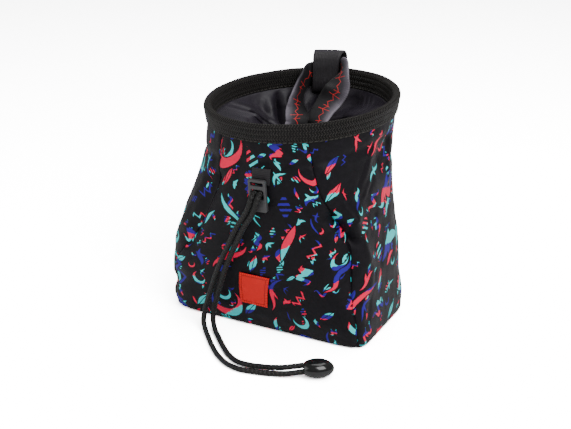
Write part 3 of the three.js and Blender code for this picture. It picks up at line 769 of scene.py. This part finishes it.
def strap_material(crossing):
    """Grey to black across the strap, painted shade that turns it black where it passes through the belt loop,
    a fine grid, and a regular red zigzag.
    """
    shader = fabric("strap_webbing", 0.6, 0.05, 0.4, 0.3)
    u, v = shader.uv()
    half = STRAP_WIDTH / 2
    grain = shader.noise(shader.combine(u, v, 8.0), 1.4, 3.0)
    # Painted shade: within about 24 mm of the belt loop the strap is pushed to its black end, standing in for
    # the loop's shadow, and the grid fades with it.
    away = abs(u - crossing + 4.0) / 24.0
    across = (v / STRAP_WIDTH + 0.5 + (grain - 0.5) * 0.12 + (away * -1.0 + 1.0).clamped() * 0.8).clamped()
    ground = shader.ramp(across, [
        (0.0, (0.2, 0.18, 0.215)), (0.12, (0.11, 0.098, 0.12)), (0.3, (0.028, 0.024, 0.031)),
        (0.5, (0.006, 0.005, 0.0065)), (1.0, (0.0045, 0.004, 0.005)),
    ])
    grid_u = (u * 1.15).frac().below(0.2)
    grid_v = (v * 1.15).frac().below(0.2)
    grid = grid_u.most(grid_v) * (across * -1.4 + 1.0).clamped()
    ground = shader.mix(grid * 0.45, ground, (0.02, 0.018, 0.022))
    wave = (abs((u / 6.0).frac() - 0.5) * 4.0 - 1.0) * 1.1
    line = (abs(v + 0.6 - wave) * 0.75).below(0.16)
    peak = (abs((u / 12.0).frac() - 0.5) * 12.0).below(0.15) * abs(v + 0.6).below(4.2)
    tick = (abs((u / 12.0 + 0.25).frac() - 0.5) * 12.0).below(0.14) * abs(v + 0.6).below(2.4)
    red = line.most(peak).most(tick) * abs(v).below(half - 1.2)
    shader.set("Base Color", shader.mix(red, ground, (0.62, 0.022, 0.02)))
    shader.bump((u * 9.0).sin() * 0.4 + (v * 9.0).sin() * 0.4 + grain, 0.12, 0.5)
    return shader.material


def patch_material():
    shader = fabric("patch_weave", 0.75, 0.04, 0.4, 0.25)
    u, v = shader.uv()
    edge_u = abs(u) * -1.0 + PATCH_WIDTH / 2
    edge_v = abs(v) * -1.0 + PATCH_HEIGHT / 2
    edge = edge_u.least(edge_v)
    border = edge.below(1.7)
    grain = shader.noise(shader.combine(u, v, 3.0), 1.3, 3.0)
    twill = ((u + v) * 4.6).sin() * 0.7
    satin = choose(edge_u.below(edge_v), (u * 5.0).sin(), (v * 5.0).sin())
    thread = choose(border, twill, satin)
    gutter = abs(edge - 1.9).below(0.22)
    tone = (thread * 0.3 + grain * 0.8 + 0.1 - gutter * 0.5).clamped()
    shader.set("Base Color", shader.ramp(tone, [(0.1, (0.42, 0.004, 0.003)), (0.7, (1.0, 0.02, 0.014))]))
    shader.bump(thread * 0.9 + border * 1.5 + grain * 0.4, 0.25, 0.9)
    return shader.material


BRAID_LAY = 2.6  # length of the braid's pattern along the cord


def cord_material():
    """A braid: two sets of slanting strands that pass over each other."""
    shader = fabric("braided_cord", 0.45, 0.03, 0.4, 0.3)
    u, v = shader.uv()
    first = ((u / BRAID_LAY + v * 4.0) * TURN).sin()
    second = ((u / BRAID_LAY - v * 4.0) * TURN).sin()
    fine = ((u * 2.2 + v * 26.0) * TURN).sin()
    height = first.most(second) + fine * 0.08
    grain = shader.noise(shader.combine(u, v * 10.0, 5.0), 0.7, 3.0)
    tone = (height * 0.3 + grain * 0.5 + 0.1).clamped()
    stops = [(0.05, (0.0015, 0.0015, 0.0015)), (0.95, (0.011, 0.0105, 0.010))]
    shader.set("Base Color", shader.ramp(tone, stops))
    shader.bump(height, 0.2, 0.9)
    return shader.material


def plastic_material(name, low, high, roughness, scale):
    """Moulded plastic with a fine grain, from the piece's own place in space."""
    shader = Shader(name, Roughness=roughness)
    place = shader.node("TexCoord").outputs["Object"]
    grain = shader.noise(place, scale, 4.0)
    shader.set("Base Color", shader.ramp(grain, [(0.3, low), (0.7, high)]))
    span = shader.node("MapRange")
    span.inputs["To Min"].default_value = roughness * 0.85
    span.inputs["To Max"].default_value = roughness * 1.2
    shader.tree.links.new(grain.socket, span.inputs["Value"])
    shader.set("Roughness", span.outputs[0])
    shader.bump(grain, 0.03, 0.4)
    return shader.material


def thread_material():
    shader = Shader("stitches", Roughness=0.6)
    u, v = shader.uv()
    twist = ((u * 3.0 + v * 2.0) * TURN).sin()
    tone = (twist * 0.4 + 0.5).clamped()
    shader.set("Base Color", shader.ramp(tone, [(0.1, (0.012, 0.011, 0.010)), (0.9, (0.06, 0.054, 0.048))]))
    shader.bump(twist, 0.05, 0.6)
    return shader.material


FLOOR_SEEN = 14.0


def floor_material():
    """A pale floor that the picture shows as clear white, as an overexposed studio sweep."""
    shader = Shader("pale_floor", Roughness=0.6)
    place = shader.node("TexCoord").outputs["Object"]
    grain = shader.noise(place, 3.0, 2.0)
    bounce = shader.ramp(grain, [(0.3, (0.78, 0.78, 0.78)), (0.7, (0.82, 0.82, 0.82))])
    shader.tree.nodes.remove(shader.main)
    diffuse = shader.node("BsdfDiffuse")
    seen = shader.node("LightPath").outputs["Is Camera Ray"]
    bright = shader.mix(shader.value(seen), bounce, (FLOOR_SEEN, FLOOR_SEEN, FLOOR_SEEN))
    shader.tree.links.new(bright, diffuse.inputs["Color"])
    shader.tree.links.new(diffuse.outputs[0], shader.tree.nodes["Material Output"].inputs["Surface"])
    return shader.material


# Camera

CAMERA_AZIMUTH = 27.2
CAMERA_ELEVATION = 22.5
CAMERA_DISTANCE = 0.743
CAMERA_TARGET = (-0.0129, 0.0195, 0.0561)


def make_camera():
    data = bpy.data.cameras.new("camera")
    data.lens = 70
    data.sensor_width = 36
    data.clip_start = 0.01
    camera = bpy.data.objects.new("camera", data)
    a, e = math.radians(CAMERA_AZIMUTH), math.radians(CAMERA_ELEVATION)
    right = np.array([math.cos(a), math.sin(a), 0])
    back = np.array([math.sin(a) * math.cos(e), -math.cos(a) * math.cos(e), math.sin(e)])
    up = np.cross(back, right)
    place = np.array(CAMERA_TARGET) + back * CAMERA_DISTANCE
    camera.matrix_world = axes_matrix(right, up, back, place)
    bpy.context.scene.collection.objects.link(camera)
    bpy.context.scene.camera = camera


make_camera()

PRINT = print_material()
NYLON = nylon_material()
TAPE_CLOTH = tape_material()
BELT_WEBBING = webbing_material()
THREAD = thread_material()


# Cord and its end piece

def tube(name, centres, radius, sides, swell=None):
    """A closed tube along points, with its map in millimetres along and turns around."""
    centres = np.asarray(centres, float)
    along = np.gradient(centres, axis=0)
    along /= np.linalg.norm(along, axis=1)[:, None]
    normal = np.cross(along[0], (0.0, 0.0, 1.0))
    if np.linalg.norm(normal) < 1e-3:
        normal = np.cross(along[0], (1.0, 0.0, 0.0))
    normals = []
    for direction in along:
        normal = normal - direction * normal.dot(direction)
        normal = normal / np.linalg.norm(normal)
        normals.append(normal)
    normals = np.array(normals)
    others = np.cross(along, normals)
    turns = np.linspace(0, 2 * np.pi, sides, endpoint=False)
    run = arc_lengths(centres[:, None, :], 0)[:, 0]
    reach = np.full((len(centres), sides), radius)
    if swell is not None:
        reach = reach + swell(run[:, None], turns[None, :])
    ring = (
        centres[:, None, :]
        + normals[:, None, :] * (np.cos(turns)[None, :] * reach)[..., None]
        + others[:, None, :] * (np.sin(turns)[None, :] * reach)[..., None]
    )
    uv = np.stack(np.broadcast_arrays(run[:, None], np.linspace(0, 1, sides + 1)[None, :]), -1)
    obj = grid_object(name, ring, uv, close_u=True)
    mesh = obj.data
    first = list(range(sides))[::-1]
    last = list(range((len(centres) - 1) * sides, len(centres) * sides))
    faces = [tuple(p.vertices) for p in mesh.polygons] + [tuple(first), tuple(last)]
    maps = [tuple(d.uv) for d in mesh.uv_layers[0].data] + [(0, 0)] * (2 * sides)
    points = np.array([v.co for v in mesh.vertices]) / MM
    bpy.data.objects.remove(obj)
    bpy.data.meshes.remove(mesh)
    return mesh_object(name, points, faces, maps)


INTO_END = 0.9  # how far each strand reaches on into the end piece


def braid(run, turn):
    first = np.sin(TURN * run / BRAID_LAY + 4 * turn)
    second = np.sin(TURN * run / BRAID_LAY - 4 * turn)
    return 0.05 * np.maximum(first, second)


def cord_end():
    """An egg on the floor, flat where the strands go in, with a thumb dish and a lip round it."""
    rows, columns = 60, 96
    polar = np.linspace(0, np.pi, rows)
    turn = np.linspace(0, 2 * np.pi, columns, endpoint=False)
    x = -np.cos(polar)[:, None] * np.ones(columns)[None, :]
    y = np.sin(polar)[:, None] * np.cos(turn)[None, :]
    z = np.sin(polar)[:, None] * np.sin(turn)[None, :]
    x = np.maximum(x, -1 + 2 * END_FLAT / END_LENGTH)
    dish = np.exp(-(((x + 0.16) / 0.5) ** 2) - (y / 0.58) ** 2)
    lowered = np.where(z > 0, END_DISH * dish * z / END_HEIGHT, 0)
    points = np.stack([x * END_LENGTH / 2, y * END_WIDTH / 2, z * END_HEIGHT / 2 - lowered], -1)
    uv = np.stack(np.broadcast_arrays(polar[:, None], np.linspace(0, 1, columns + 1)[None, :]), -1)
    obj = grid_object("cord_end_piece", points, uv, close_u=True)
    matrix = Matrix.Translation((END_X * MM, END_Y * MM, END_HEIGHT / 2 * MM))
    obj.data.transform(matrix @ Matrix.Rotation(math.radians(END_TURN), 4, "Z"))
    return obj


GLOSS = plastic_material("gloss_plastic", (0.006, 0.006, 0.006), (0.010, 0.010, 0.010), 0.13, 300.0)
CORD = cord_material()

end_piece = finish_piece(cord_end(), GLOSS, "gloss", "cord_end")

for side, strand in (("left", LEFT_STRAND), ("right", RIGHT_STRAND)):
    route = catmull(strand, False, np.linspace(0, 1, 420))
    heading = (route[-1] - route[-2]) / np.linalg.norm(route[-1] - route[-2])
    route = np.concatenate([route, route[-1:] + heading * INTO_END])
    piece = tube("cord_" + side, route, CORD_DIAMETER / 2, 20, braid)
    finish_piece(piece, CORD, "cord", "drawcord_" + side)


# Cloth shell

PANELS = (
    ("front", "frontLeft", "frontRight", 110, 0.0),
    ("right", "frontRight", "backRight", 100, 310.0),
    ("back", "backRight", "backLeft", 90, 640.0),
    ("left", "backLeft", "frontLeft", 100, 970.0),
)
PANEL_ROWS = 120
SEAM_DIP = 0.55
SEAM_ROLL = 1.3


def panel(name, first_seam, last_seam, columns, offset):
    turn = BASE_ROUND * (1 - np.cos(np.radians(np.linspace(0, 90, 6)))) / NECK_HEIGHT
    levels = np.concatenate([turn, np.linspace(turn[-1], 1, PANEL_ROWS)[1:], [SHELL_TOP]])
    first = seam(first_seam, levels)
    wide = (seam(last_seam, levels) - first) % 360
    share = np.linspace(0, 1, columns)
    angle = first[:, None] + wide[:, None] * share[None, :]
    level = np.repeat(levels[:, None], columns, 1)
    reach = fold_reach(angle, level)
    rough = skin(angle, level, 0.0, reach)
    across = arc_lengths(rough, 1)
    up = arc_lengths(rough, 0)
    near = np.minimum(across, across[:, -1:] - across)
    dip = SEAM_DIP * np.exp(-((near / SEAM_ROLL) ** 2))
    pucker = 0.16 * np.sin(2 * np.pi * up / 3.4 + 4 * share[None, :]) * np.exp(-((near / 3.0) ** 2))
    under_rim = np.clip((level - 0.9) / 0.1, 0, 1) * (level <= 1)
    gather = 0.22 * under_rim * np.sin(np.radians(angle) * 46 + 2 * np.sin(np.radians(angle) * 7))
    calm = np.clip(level / 0.06, 0, 1) * np.clip((1 - level) / 0.05, 0, 1)
    cloth = fold_reach(angle, level, 1.0, CREASES) + 0.28 * calm * ripple(across, up, offset)
    points = skin(angle, level, dip, reach + cloth + pucker * calm + gather * calm)
    middle = across[:, -1:] * 0.5
    uv = np.stack([across - middle + offset, up + 0.31 * offset], -1)
    obj = grid_object("cloth_" + name, points, uv)
    thicken(obj, SHELL)
    return finish_piece(obj, PRINT, "print", "panel_" + name)


for row in PANELS:
    panel(*row)


def base():
    rings, columns = 24, 160
    angle = np.linspace(0, 360, columns, endpoint=False)
    edge = skin(angle, 0.0, SHELL + GAP)[:, :2]
    shares = np.linspace(0, 1, rings)
    points = np.zeros((rings, columns, 3))
    points[..., :2] = edge[None] * shares[::-1][:, None, None]
    x, y = points[..., 0], points[..., 1]
    points[..., 2] = SHELL
    uv = np.stack([x, y], -1)
    uv = np.concatenate([uv, uv[:, :1]], 1)
    points[-1, :, :2] = edge * 0.002
    obj = grid_object("cloth_base", points, uv + 1300.0, close_u=True)
    thicken(obj, SHELL)
    return finish_piece(obj, PRINT, "print", "base_panel")


base()


def lining():
    floor = SHELL + GAP + LINING
    levels = np.concatenate([np.linspace(floor / NECK_HEIGHT, 1, 70), [SHELL_TOP]])
    angle = np.linspace(0, 360, 240, endpoint=False)
    level, turn = np.meshgrid(levels, angle, indexing="ij")
    slack = np.where(level < 1, LINING_SLACK, GAP)
    reach = np.minimum(0, fold_reach(turn, level, LINING_WIDENING))
    wall = skin(turn, level, SHELL + slack + LINING, reach)
    calm = np.clip((1 - level) / 0.1, 0, 1)
    out = np.stack([np.cos(np.radians(turn)), np.sin(np.radians(turn)), 0 * turn], -1)
    wall = wall - out * (0.5 * calm * (1 + ripple(turn * 1.05, level * NECK_HEIGHT, 12)))[..., None]
    rings = [wall[0] * np.array([s, s, 0]) + np.array([0, 0, floor]) for s in np.linspace(0.004, 0.97, 22)]
    points = np.concatenate([np.array(rings), wall], 0)[::-1]
    up = arc_lengths(points, 0)
    uv = np.stack(np.broadcast_arrays(np.linspace(0, 360, 241)[None, :], up[:, :1]), -1)
    obj = grid_object("lining_cloth", points, uv, close_u=True)
    thicken(obj, 0.5)
    return finish_piece(obj, NYLON, "lining", "lining")


lining()


def gathers(angle, share):
    total = 0
    for a0, s0, a1, s1, reach, wide in GATHERS:
        along_x, along_y = a1 - a0, (s1 - s0) * COLLAR_DEPTH
        x = turn_between(angle, a0)
        y = (share - s0) * COLLAR_DEPTH
        t = np.clip((x * along_x + y * along_y) / (along_x ** 2 + along_y ** 2), 0, 1)
        away = np.hypot(x - along_x * t, y - along_y * t) / wide
        total = total + reach * np.exp(-(away ** 2)) * np.clip(share * 4, 0, 1)
    return total


def flaps(angle, share):
    total = 0
    for a0, s0, a1, s1, reach, sharp, middle, wide in FLAPS:
        along_x, along_y = a1 - a0, (s1 - s0) * COLLAR_DEPTH
        size = math.hypot(along_x, along_y)
        x = turn_between(angle, a0)
        y = (share - s0) * COLLAR_DEPTH
        below = (y * abs(along_x) - x * along_y * np.sign(along_x)) / size
        step = 1 / (1 + np.exp(np.clip(-below / sharp, -30, 30)))
        lip = 0.3 * np.exp(-(((below - 2 * sharp) / (1.6 * sharp)) ** 2))
        window = np.exp(-((turn_between(angle, middle) / wide) ** 4))
        total = total + reach * (step + lip) * window
    return total * np.clip(share * 7, 0, 1)


def collar():
    top = SHELL + GAP + LINING + GAP + GAP / 3
    angle = np.linspace(0, 360, 540, endpoint=False)
    shares = np.linspace(0, 1, 80)
    share, turn = np.meshgrid(shares, angle, indexing="ij")
    lean = COLLAR_HANG + sum(
        reach * MOUTH_RADIUS * np.exp(-((turn_between(turn, a) / wide) ** 2)) for a, wide, reach in COLLAR_LEANS
    )
    level = 1 - (GAP + COLLAR_DEPTH * share) / NECK_HEIGHT
    reach = np.minimum(0, fold_reach(turn, level, LINING_WIDENING))
    fine = 0.35 * np.sin(np.radians(turn) * 38 + 3 * np.sin(np.radians(turn) * 5)) * np.clip(share * 6, 0, 1)
    folds = np.maximum(gathers(turn, share), -lean * share * 0.8) + flaps(turn, share)
    inset = top + COLLAR + lean * share + folds + fine * share
    points = skin(turn, level, inset, reach)[:, ::-1]
    up = arc_lengths(points, 0)
    uv = np.stack(np.broadcast_arrays(np.linspace(400, 760, 541)[None, :], up[:, :1]), -1)
    obj = grid_object("collar_cloth", points, uv, close_u=True)
    thicken(obj, COLLAR)
    return finish_piece(obj, NYLON, "lining", "collar")


collar()


# Rim tape with its stitches

STITCH_DROP = 10.8  # the row of stitches, below the rim


def rim_section():
    """The tape's outline: out from the shell, and drop from the rim."""
    crown = BAND_INNER + (BAND_OUTER - BAND_INNER) / 2
    half = (BAND_OUTER - BAND_INNER) / 2
    turns = np.linspace(0, 180, 13)
    arch = [(crown + half * math.cos(math.radians(t)), half * (1 - math.sin(math.radians(t)))) for t in turns]
    outside = [(BAND_OUTER, d) for d in np.linspace(BAND_HEIGHT - 0.3, half + 0.8, 10)]
    inside = [(BAND_INNER, d) for d in np.linspace(half + 0.8, BAND_HEIGHT - 0.3, 10)]
    hidden = [
        (BAND_INNER + 0.3, BAND_HEIGHT), (BAND_INNER + TAPE - 0.3, BAND_HEIGHT),
        (BAND_INNER + TAPE, BAND_HEIGHT - 0.3), (BAND_INNER + TAPE, SLOT_DROP), (GAP, SLOT_DROP),
        (GAP, BAND_HEIGHT - 0.3), (GAP + 0.3, BAND_HEIGHT), (BAND_OUTER - 0.3, BAND_HEIGHT),
    ]
    return np.array(outside + arch + inside + hidden)


def rim():
    outline = rim_section()
    angle = np.linspace(0, 360, 480, endpoint=False)
    out = outline[:, 0][:, None]
    drop = outline[:, 1][:, None]
    turn = angle[None, :]
    wave = 0.22 * np.sin(np.radians(turn) * 3 + 1) + 0.14 * np.sin(np.radians(turn) * 11)
    face = np.sign(out + 1.0)
    sewn = 0.32 * np.exp(-(((drop - STITCH_DROP) / 0.9) ** 2)) * face
    dimple = 0.1 * np.sin(np.radians(turn) * 150) * np.exp(-(((drop - STITCH_DROP) / 1.4) ** 2)) * face
    radius = flared_radius(drop) + out - sewn + dimple
    points = rim_point(turn, radius, drop + wave * 0.6)
    ring = np.concatenate([points, points[:1]], 0)
    up = arc_lengths(ring, 0)[:, :1]
    uv = np.stack(np.broadcast_arrays(np.linspace(0, 360 * 1.047, 481)[None, :], up), -1)
    obj = grid_object("rim_tape_piece", points, uv, close_u=True, close_v=True)
    return finish_piece(obj, TAPE_CLOTH, "tape", "rim_band")


rim()


def stitch_row(name, places, length, radius, material, slot):
    """Short rounded stitches. places holds each stitch's middle, direction and outward normal."""
    points, faces, uv = [], [], []
    profile = [(-0.5, 0.25), (-0.38, 0.8), (0.0, 1.0), (0.38, 0.8), (0.5, 0.25)]
    sides = 6
    for middle, along, out in places:
        across = np.cross(out, along)
        start = len(points)
        for s, wide in profile:
            sink = 0.9 * radius * (abs(s) * 2) ** 3
            for k in range(sides):
                a = 2 * math.pi * k / sides
                points.append(
                    middle + along * s * length
                    + across * math.cos(a) * radius * wide + out * (math.sin(a) * radius * wide - sink)
                )
        for i in range(len(profile) - 1):
            for k in range(sides):
                m = (k + 1) % sides
                faces.append((start + i * sides + k, start + i * sides + m,
                              start + (i + 1) * sides + m, start + (i + 1) * sides + k))
                uv += [(i, k / sides), (i, (k + 1) / sides), (i + 1, (k + 1) / sides), (i + 1, k / sides)]
    obj = mesh_object(name, points, faces, uv)
    return finish_piece(obj, material, slot)


def rim_stitches():
    places = []
    for out, side in ((BAND_OUTER - 0.2, 1), (BAND_INNER + 0.2, -1)):
        for angle in np.arange(0, 360, 2.9):
            radius = flared_radius(STITCH_DROP) + out
            middle = rim_point(angle, radius, STITCH_DROP)
            ahead = rim_point(angle + 1, radius, STITCH_DROP) - middle
            ahead /= np.linalg.norm(ahead)
            outward = np.array([math.cos(math.radians(angle)), math.sin(math.radians(angle)), 0.0]) * side
            places.append((middle, ahead, outward))
    return stitch_row("rim_stitches", places, 2.3, 0.28, THREAD, "tape")


rim_stitches()


# Belt loop and strap

def rounded_section(width, thickness, across_steps):
    """Outline of a webbing strip: across its width and through its thickness."""
    r = thickness / 2
    flat = width / 2 - r
    top = [(x, r) for x in np.linspace(flat, -flat, across_steps)]
    left = [(-flat - r * math.sin(a), r * math.cos(a)) for a in np.linspace(0, math.pi, 6)[1:-1]]
    bottom = [(x, -r) for x in np.linspace(-flat, flat, across_steps)]
    right = [(flat + r * math.sin(a), -r * math.cos(a)) for a in np.linspace(0, math.pi, 6)[1:-1]]
    return np.array(top + left + bottom + right)


def belt_loop():
    places = []
    for across, out, up in LOOP_PATH:
        drop = -up * (LOOP_RISE if up > 0 else BAND_HEIGHT)
        face = BAND_INNER + (BAND_OUTER - BAND_INNER) * across
        side = 1 if across > 0.5 else -1
        clear = side * GAP if across in (0, 1) else 0
        places.append((flared_radius(max(drop, 0)) + face + clear + out * WEBBING, drop, 0.0))
    path = catmull(places, False, np.linspace(0, 1, 90))[:, :2]
    along = np.gradient(path, axis=0)
    along /= np.linalg.norm(along, axis=1)[:, None]
    outline = rounded_section(LOOP_WIDTH, WEBBING, 14)
    half = math.degrees(1 / RIM_INSIDE)
    ribs = 0.05 * np.sin(outline[:, 0] * 2.6)
    depth = outline[:, 1] + np.sign(outline[:, 1]) * ribs
    radius = path[:, 0][:, None] - along[:, 1][:, None] * depth[None, :]
    drop = path[:, 1][:, None] + along[:, 0][:, None] * depth[None, :]
    angle = LOOP_ANGLE - outline[:, 0][None, :] * half
    points = rim_point(angle, radius, drop)
    run = arc_lengths(points, 0)[:, :1]
    v = np.concatenate([outline[:, 0], outline[:1, 0]])
    uv = np.stack(np.broadcast_arrays(run, v[None, :]), -1)
    obj = grid_object("belt_loop_webbing", points, uv, close_u=True)
    return finish_piece(obj, BELT_WEBBING, "tape", "belt_loop")


belt_loop()


def strap():
    headings, places = [], []
    for angle, reach, up, turn, tip in STRAP_PATH:
        t, p = math.radians(turn), math.radians(tip)
        headings.append((math.cos(t) * math.cos(p), math.sin(t) * math.cos(p), math.sin(p)))
        places.append(rim_point(angle, STRAP_SEAT * reach, -up * MOUTH_RADIUS))
    samples = np.linspace(0, 1, len(STRAP_PATH) * STRAP_SAMPLES, endpoint=False)
    middle = catmull(places, True, samples)
    wide = catmull(headings, True, samples)
    along = (np.roll(middle, -1, 0) - np.roll(middle, 1, 0))
    along /= np.linalg.norm(along, axis=1)[:, None]
    wide = wide - along * np.sum(wide * along, 1)[:, None]
    wide /= np.linalg.norm(wide, axis=1)[:, None]
    thick = np.cross(along, wide)
    outline = rounded_section(STRAP_WIDTH, WEBBING, 14)
    points = (
        middle[:, None, :]
        + wide[:, None, :] * outline[None, :, :1]
        + thick[:, None, :] * outline[None, :, 1:]
    )
    ring = np.concatenate([middle, middle[:1]], 0)
    run = arc_lengths(ring[:, None, :], 0)
    v = np.concatenate([outline[:, 0], outline[:1, 0]])
    uv = np.stack(np.broadcast_arrays(run, v[None, :]), -1)
    obj = grid_object("strap_webbing_piece", points, uv, close_u=True, close_v=True)
    # Where the strap passes through the belt loop; its material paints shade there.
    crossing = float(run[STRAP_CROSSING * STRAP_SAMPLES, 0])
    return finish_piece(obj, strap_material(crossing), "webbing", "strap_loop")


strap()


# Patch, tab and cord lock

def applique(name, angle, level, width, height, thickness, lean, columns, rows, relief=None):
    centre = skin(angle, level)
    around = math.degrees(1 / math.hypot(centre[0], centre[1]))
    v, u = np.meshgrid(np.linspace(-0.5, 0.5, rows), np.linspace(-0.5, 0.5, columns), indexing="ij")
    raised = 0 if relief is None else relief(u * width, v * height)
    points = skin(
        angle + (u * width + v * lean) * around,
        level + v * height / NECK_HEIGHT,
        -GAP - thickness - raised,
    )
    obj = grid_object(name, points, np.stack([u * width, v * height], -1))
    return thicken(obj, thickness, 0.3)


def patch_relief(u, v):
    edge = np.minimum(PATCH_WIDTH / 2 - np.abs(u), PATCH_HEIGHT / 2 - np.abs(v))
    border = 0.28 * np.exp(-(((edge - 0.9) / 0.75) ** 2))
    return border - 0.25 * np.exp(-((edge / 0.3) ** 2))


finish_piece(
    applique("patch_piece", PATCH_ANGLE, PATCH_LEVEL, PATCH_WIDTH, PATCH_HEIGHT, PATCH, PATCH_LEAN, 64, 70,
             patch_relief),
    patch_material(), "patch", "patch",
)

tab_height = TAB_RUN + LOCK_BAR + SLOT_LENGTH
tab_level = LOCK_LEVEL + (LOCK_LENGTH / 2 + (TAB_RUN - LOCK_BAR - SLOT_LENGTH) / 2) / NECK_HEIGHT
finish_piece(
    applique("tab_piece", LOCK_ANGLE, tab_level, TAB_WIDTH, tab_height, TAB, 0, 24, 20),
    BELT_WEBBING, "tape", "lock_tab",
)


def rounded_rectangle(x, y, width, height, corner, steps=6):
    points = []
    corners = ((x + width - corner, y + corner, -90), (x + width - corner, y + height - corner, 0),
               (x + corner, y + height - corner, 90), (x + corner, y + corner, 180))
    for cx, cy, start in corners:
        for t in np.linspace(start, start + 90, steps):
            a = math.radians(t)
            points.append((cx + corner * math.cos(a), cy + corner * math.sin(a)))
    return points


def lock_frame():
    """The lock's own axes: across, up along the cloth, and out of it, with the place it lies at."""
    at = skin(LOCK_ANGLE, LOCK_LEVEL)
    across = skin(LOCK_ANGLE + 1, LOCK_LEVEL) - skin(LOCK_ANGLE - 1, LOCK_LEVEL)
    across /= np.linalg.norm(across)
    up = skin(LOCK_ANGLE, LOCK_LEVEL + 0.02) - skin(LOCK_ANGLE, LOCK_LEVEL - 0.02)
    out = np.cross(across, up)
    out /= np.linalg.norm(out)
    up = np.cross(out, across)
    return at + out * (GAP + TAB + GAP), across, up, out


def cord_lock():
    top = LOCK_LENGTH / 2
    slot_y = top - LOCK_BAR - SLOT_LENGTH
    window_y = slot_y - CROSSBAR - WINDOW_LENGTH
    loops = [
        rounded_rectangle(-LOCK_WIDTH / 2, -top, LOCK_WIDTH, LOCK_LENGTH, 1.2),
        rounded_rectangle(-SLOT_WIDTH / 2, slot_y, SLOT_WIDTH, SLOT_LENGTH, 0.45),
        rounded_rectangle(-WINDOW_WIDTH / 2, window_y, WINDOW_WIDTH, WINDOW_LENGTH, 1.2),
    ]
    curve = bpy.data.curves.new("lock_outline", "CURVE")
    curve.dimensions = "2D"
    curve.fill_mode = "BOTH"
    curve.bevel_depth = 0.42 * MM
    curve.bevel_resolution = 3
    curve.offset = -0.42 * MM
    curve.extrude = (LOCK_THICKNESS / 2 - 0.42) * MM
    for loop in loops:
        spline = curve.splines.new("POLY")
        spline.points.add(len(loop) - 1)
        for point, (x, y) in zip(spline.points, loop):
            point.co = (x * MM, y * MM, 0, 1)
        spline.use_cyclic_u = True
    holder = bpy.data.objects.new("lock_outline", curve)
    bpy.context.scene.collection.objects.link(holder)
    bpy.context.view_layer.update()
    mesh = bpy.data.meshes.new_from_object(holder.evaluated_get(bpy.context.evaluated_depsgraph_get()))
    bpy.data.objects.remove(holder)
    obj = bpy.data.objects.new("cord_lock_piece", mesh)
    bpy.context.scene.collection.objects.link(obj)
    at, across, up, out = lock_frame()
    at = at + out * LOCK_THICKNESS / 2
    obj.data.transform(axes_matrix(across, up, out, at * MM))
    material = plastic_material("lock_plastic", (0.038, 0.038, 0.040), (0.055, 0.055, 0.058), 0.38, 900.0)
    return finish_piece(obj, material, "lock", "cord_lock")


cord_lock()


# Floor and light

def make_floor():
    bpy.ops.mesh.primitive_plane_add(size=8)
    floor = bpy.context.object
    floor.name = "floor"
    floor.location = (0, 0, -0.0002)
    floor.data.materials.append(floor_material())


def area_light(name, place, aim, size, power):
    data = bpy.data.lights.new(name, "AREA")
    data.shape = "RECTANGLE"
    data.size, data.size_y = size
    data.energy = power
    light = bpy.data.objects.new(name, data)
    back = np.array(place, float) - np.array(aim, float)
    back /= np.linalg.norm(back)
    right = np.cross((0, 0, 1.0), back)
    right /= np.linalg.norm(right)
    up = np.cross(back, right)
    light.matrix_world = axes_matrix(right, up, back, place)
    bpy.context.scene.collection.objects.link(light)


make_floor()
area_light("key", (0.55, -0.35, 0.75), (0, 0, 0.08), (0.6, 0.6), 9)
area_light("fill", (-0.8, -0.7, 0.5), (0, 0, 0.06), (0.8, 0.8), 4)
area_light("top", (0.0, 0.25, 1.0), (0, 0, 0.1), (0.7, 0.7), 5)

world = bpy.data.worlds.new("studio")
world.use_nodes = True
world.node_tree.nodes["Background"].inputs["Color"].default_value = (1, 1, 1, 1)
world.node_tree.nodes["Background"].inputs["Strength"].default_value = 0.3
bpy.context.scene.world = world


bpy.context.view_layer.update()
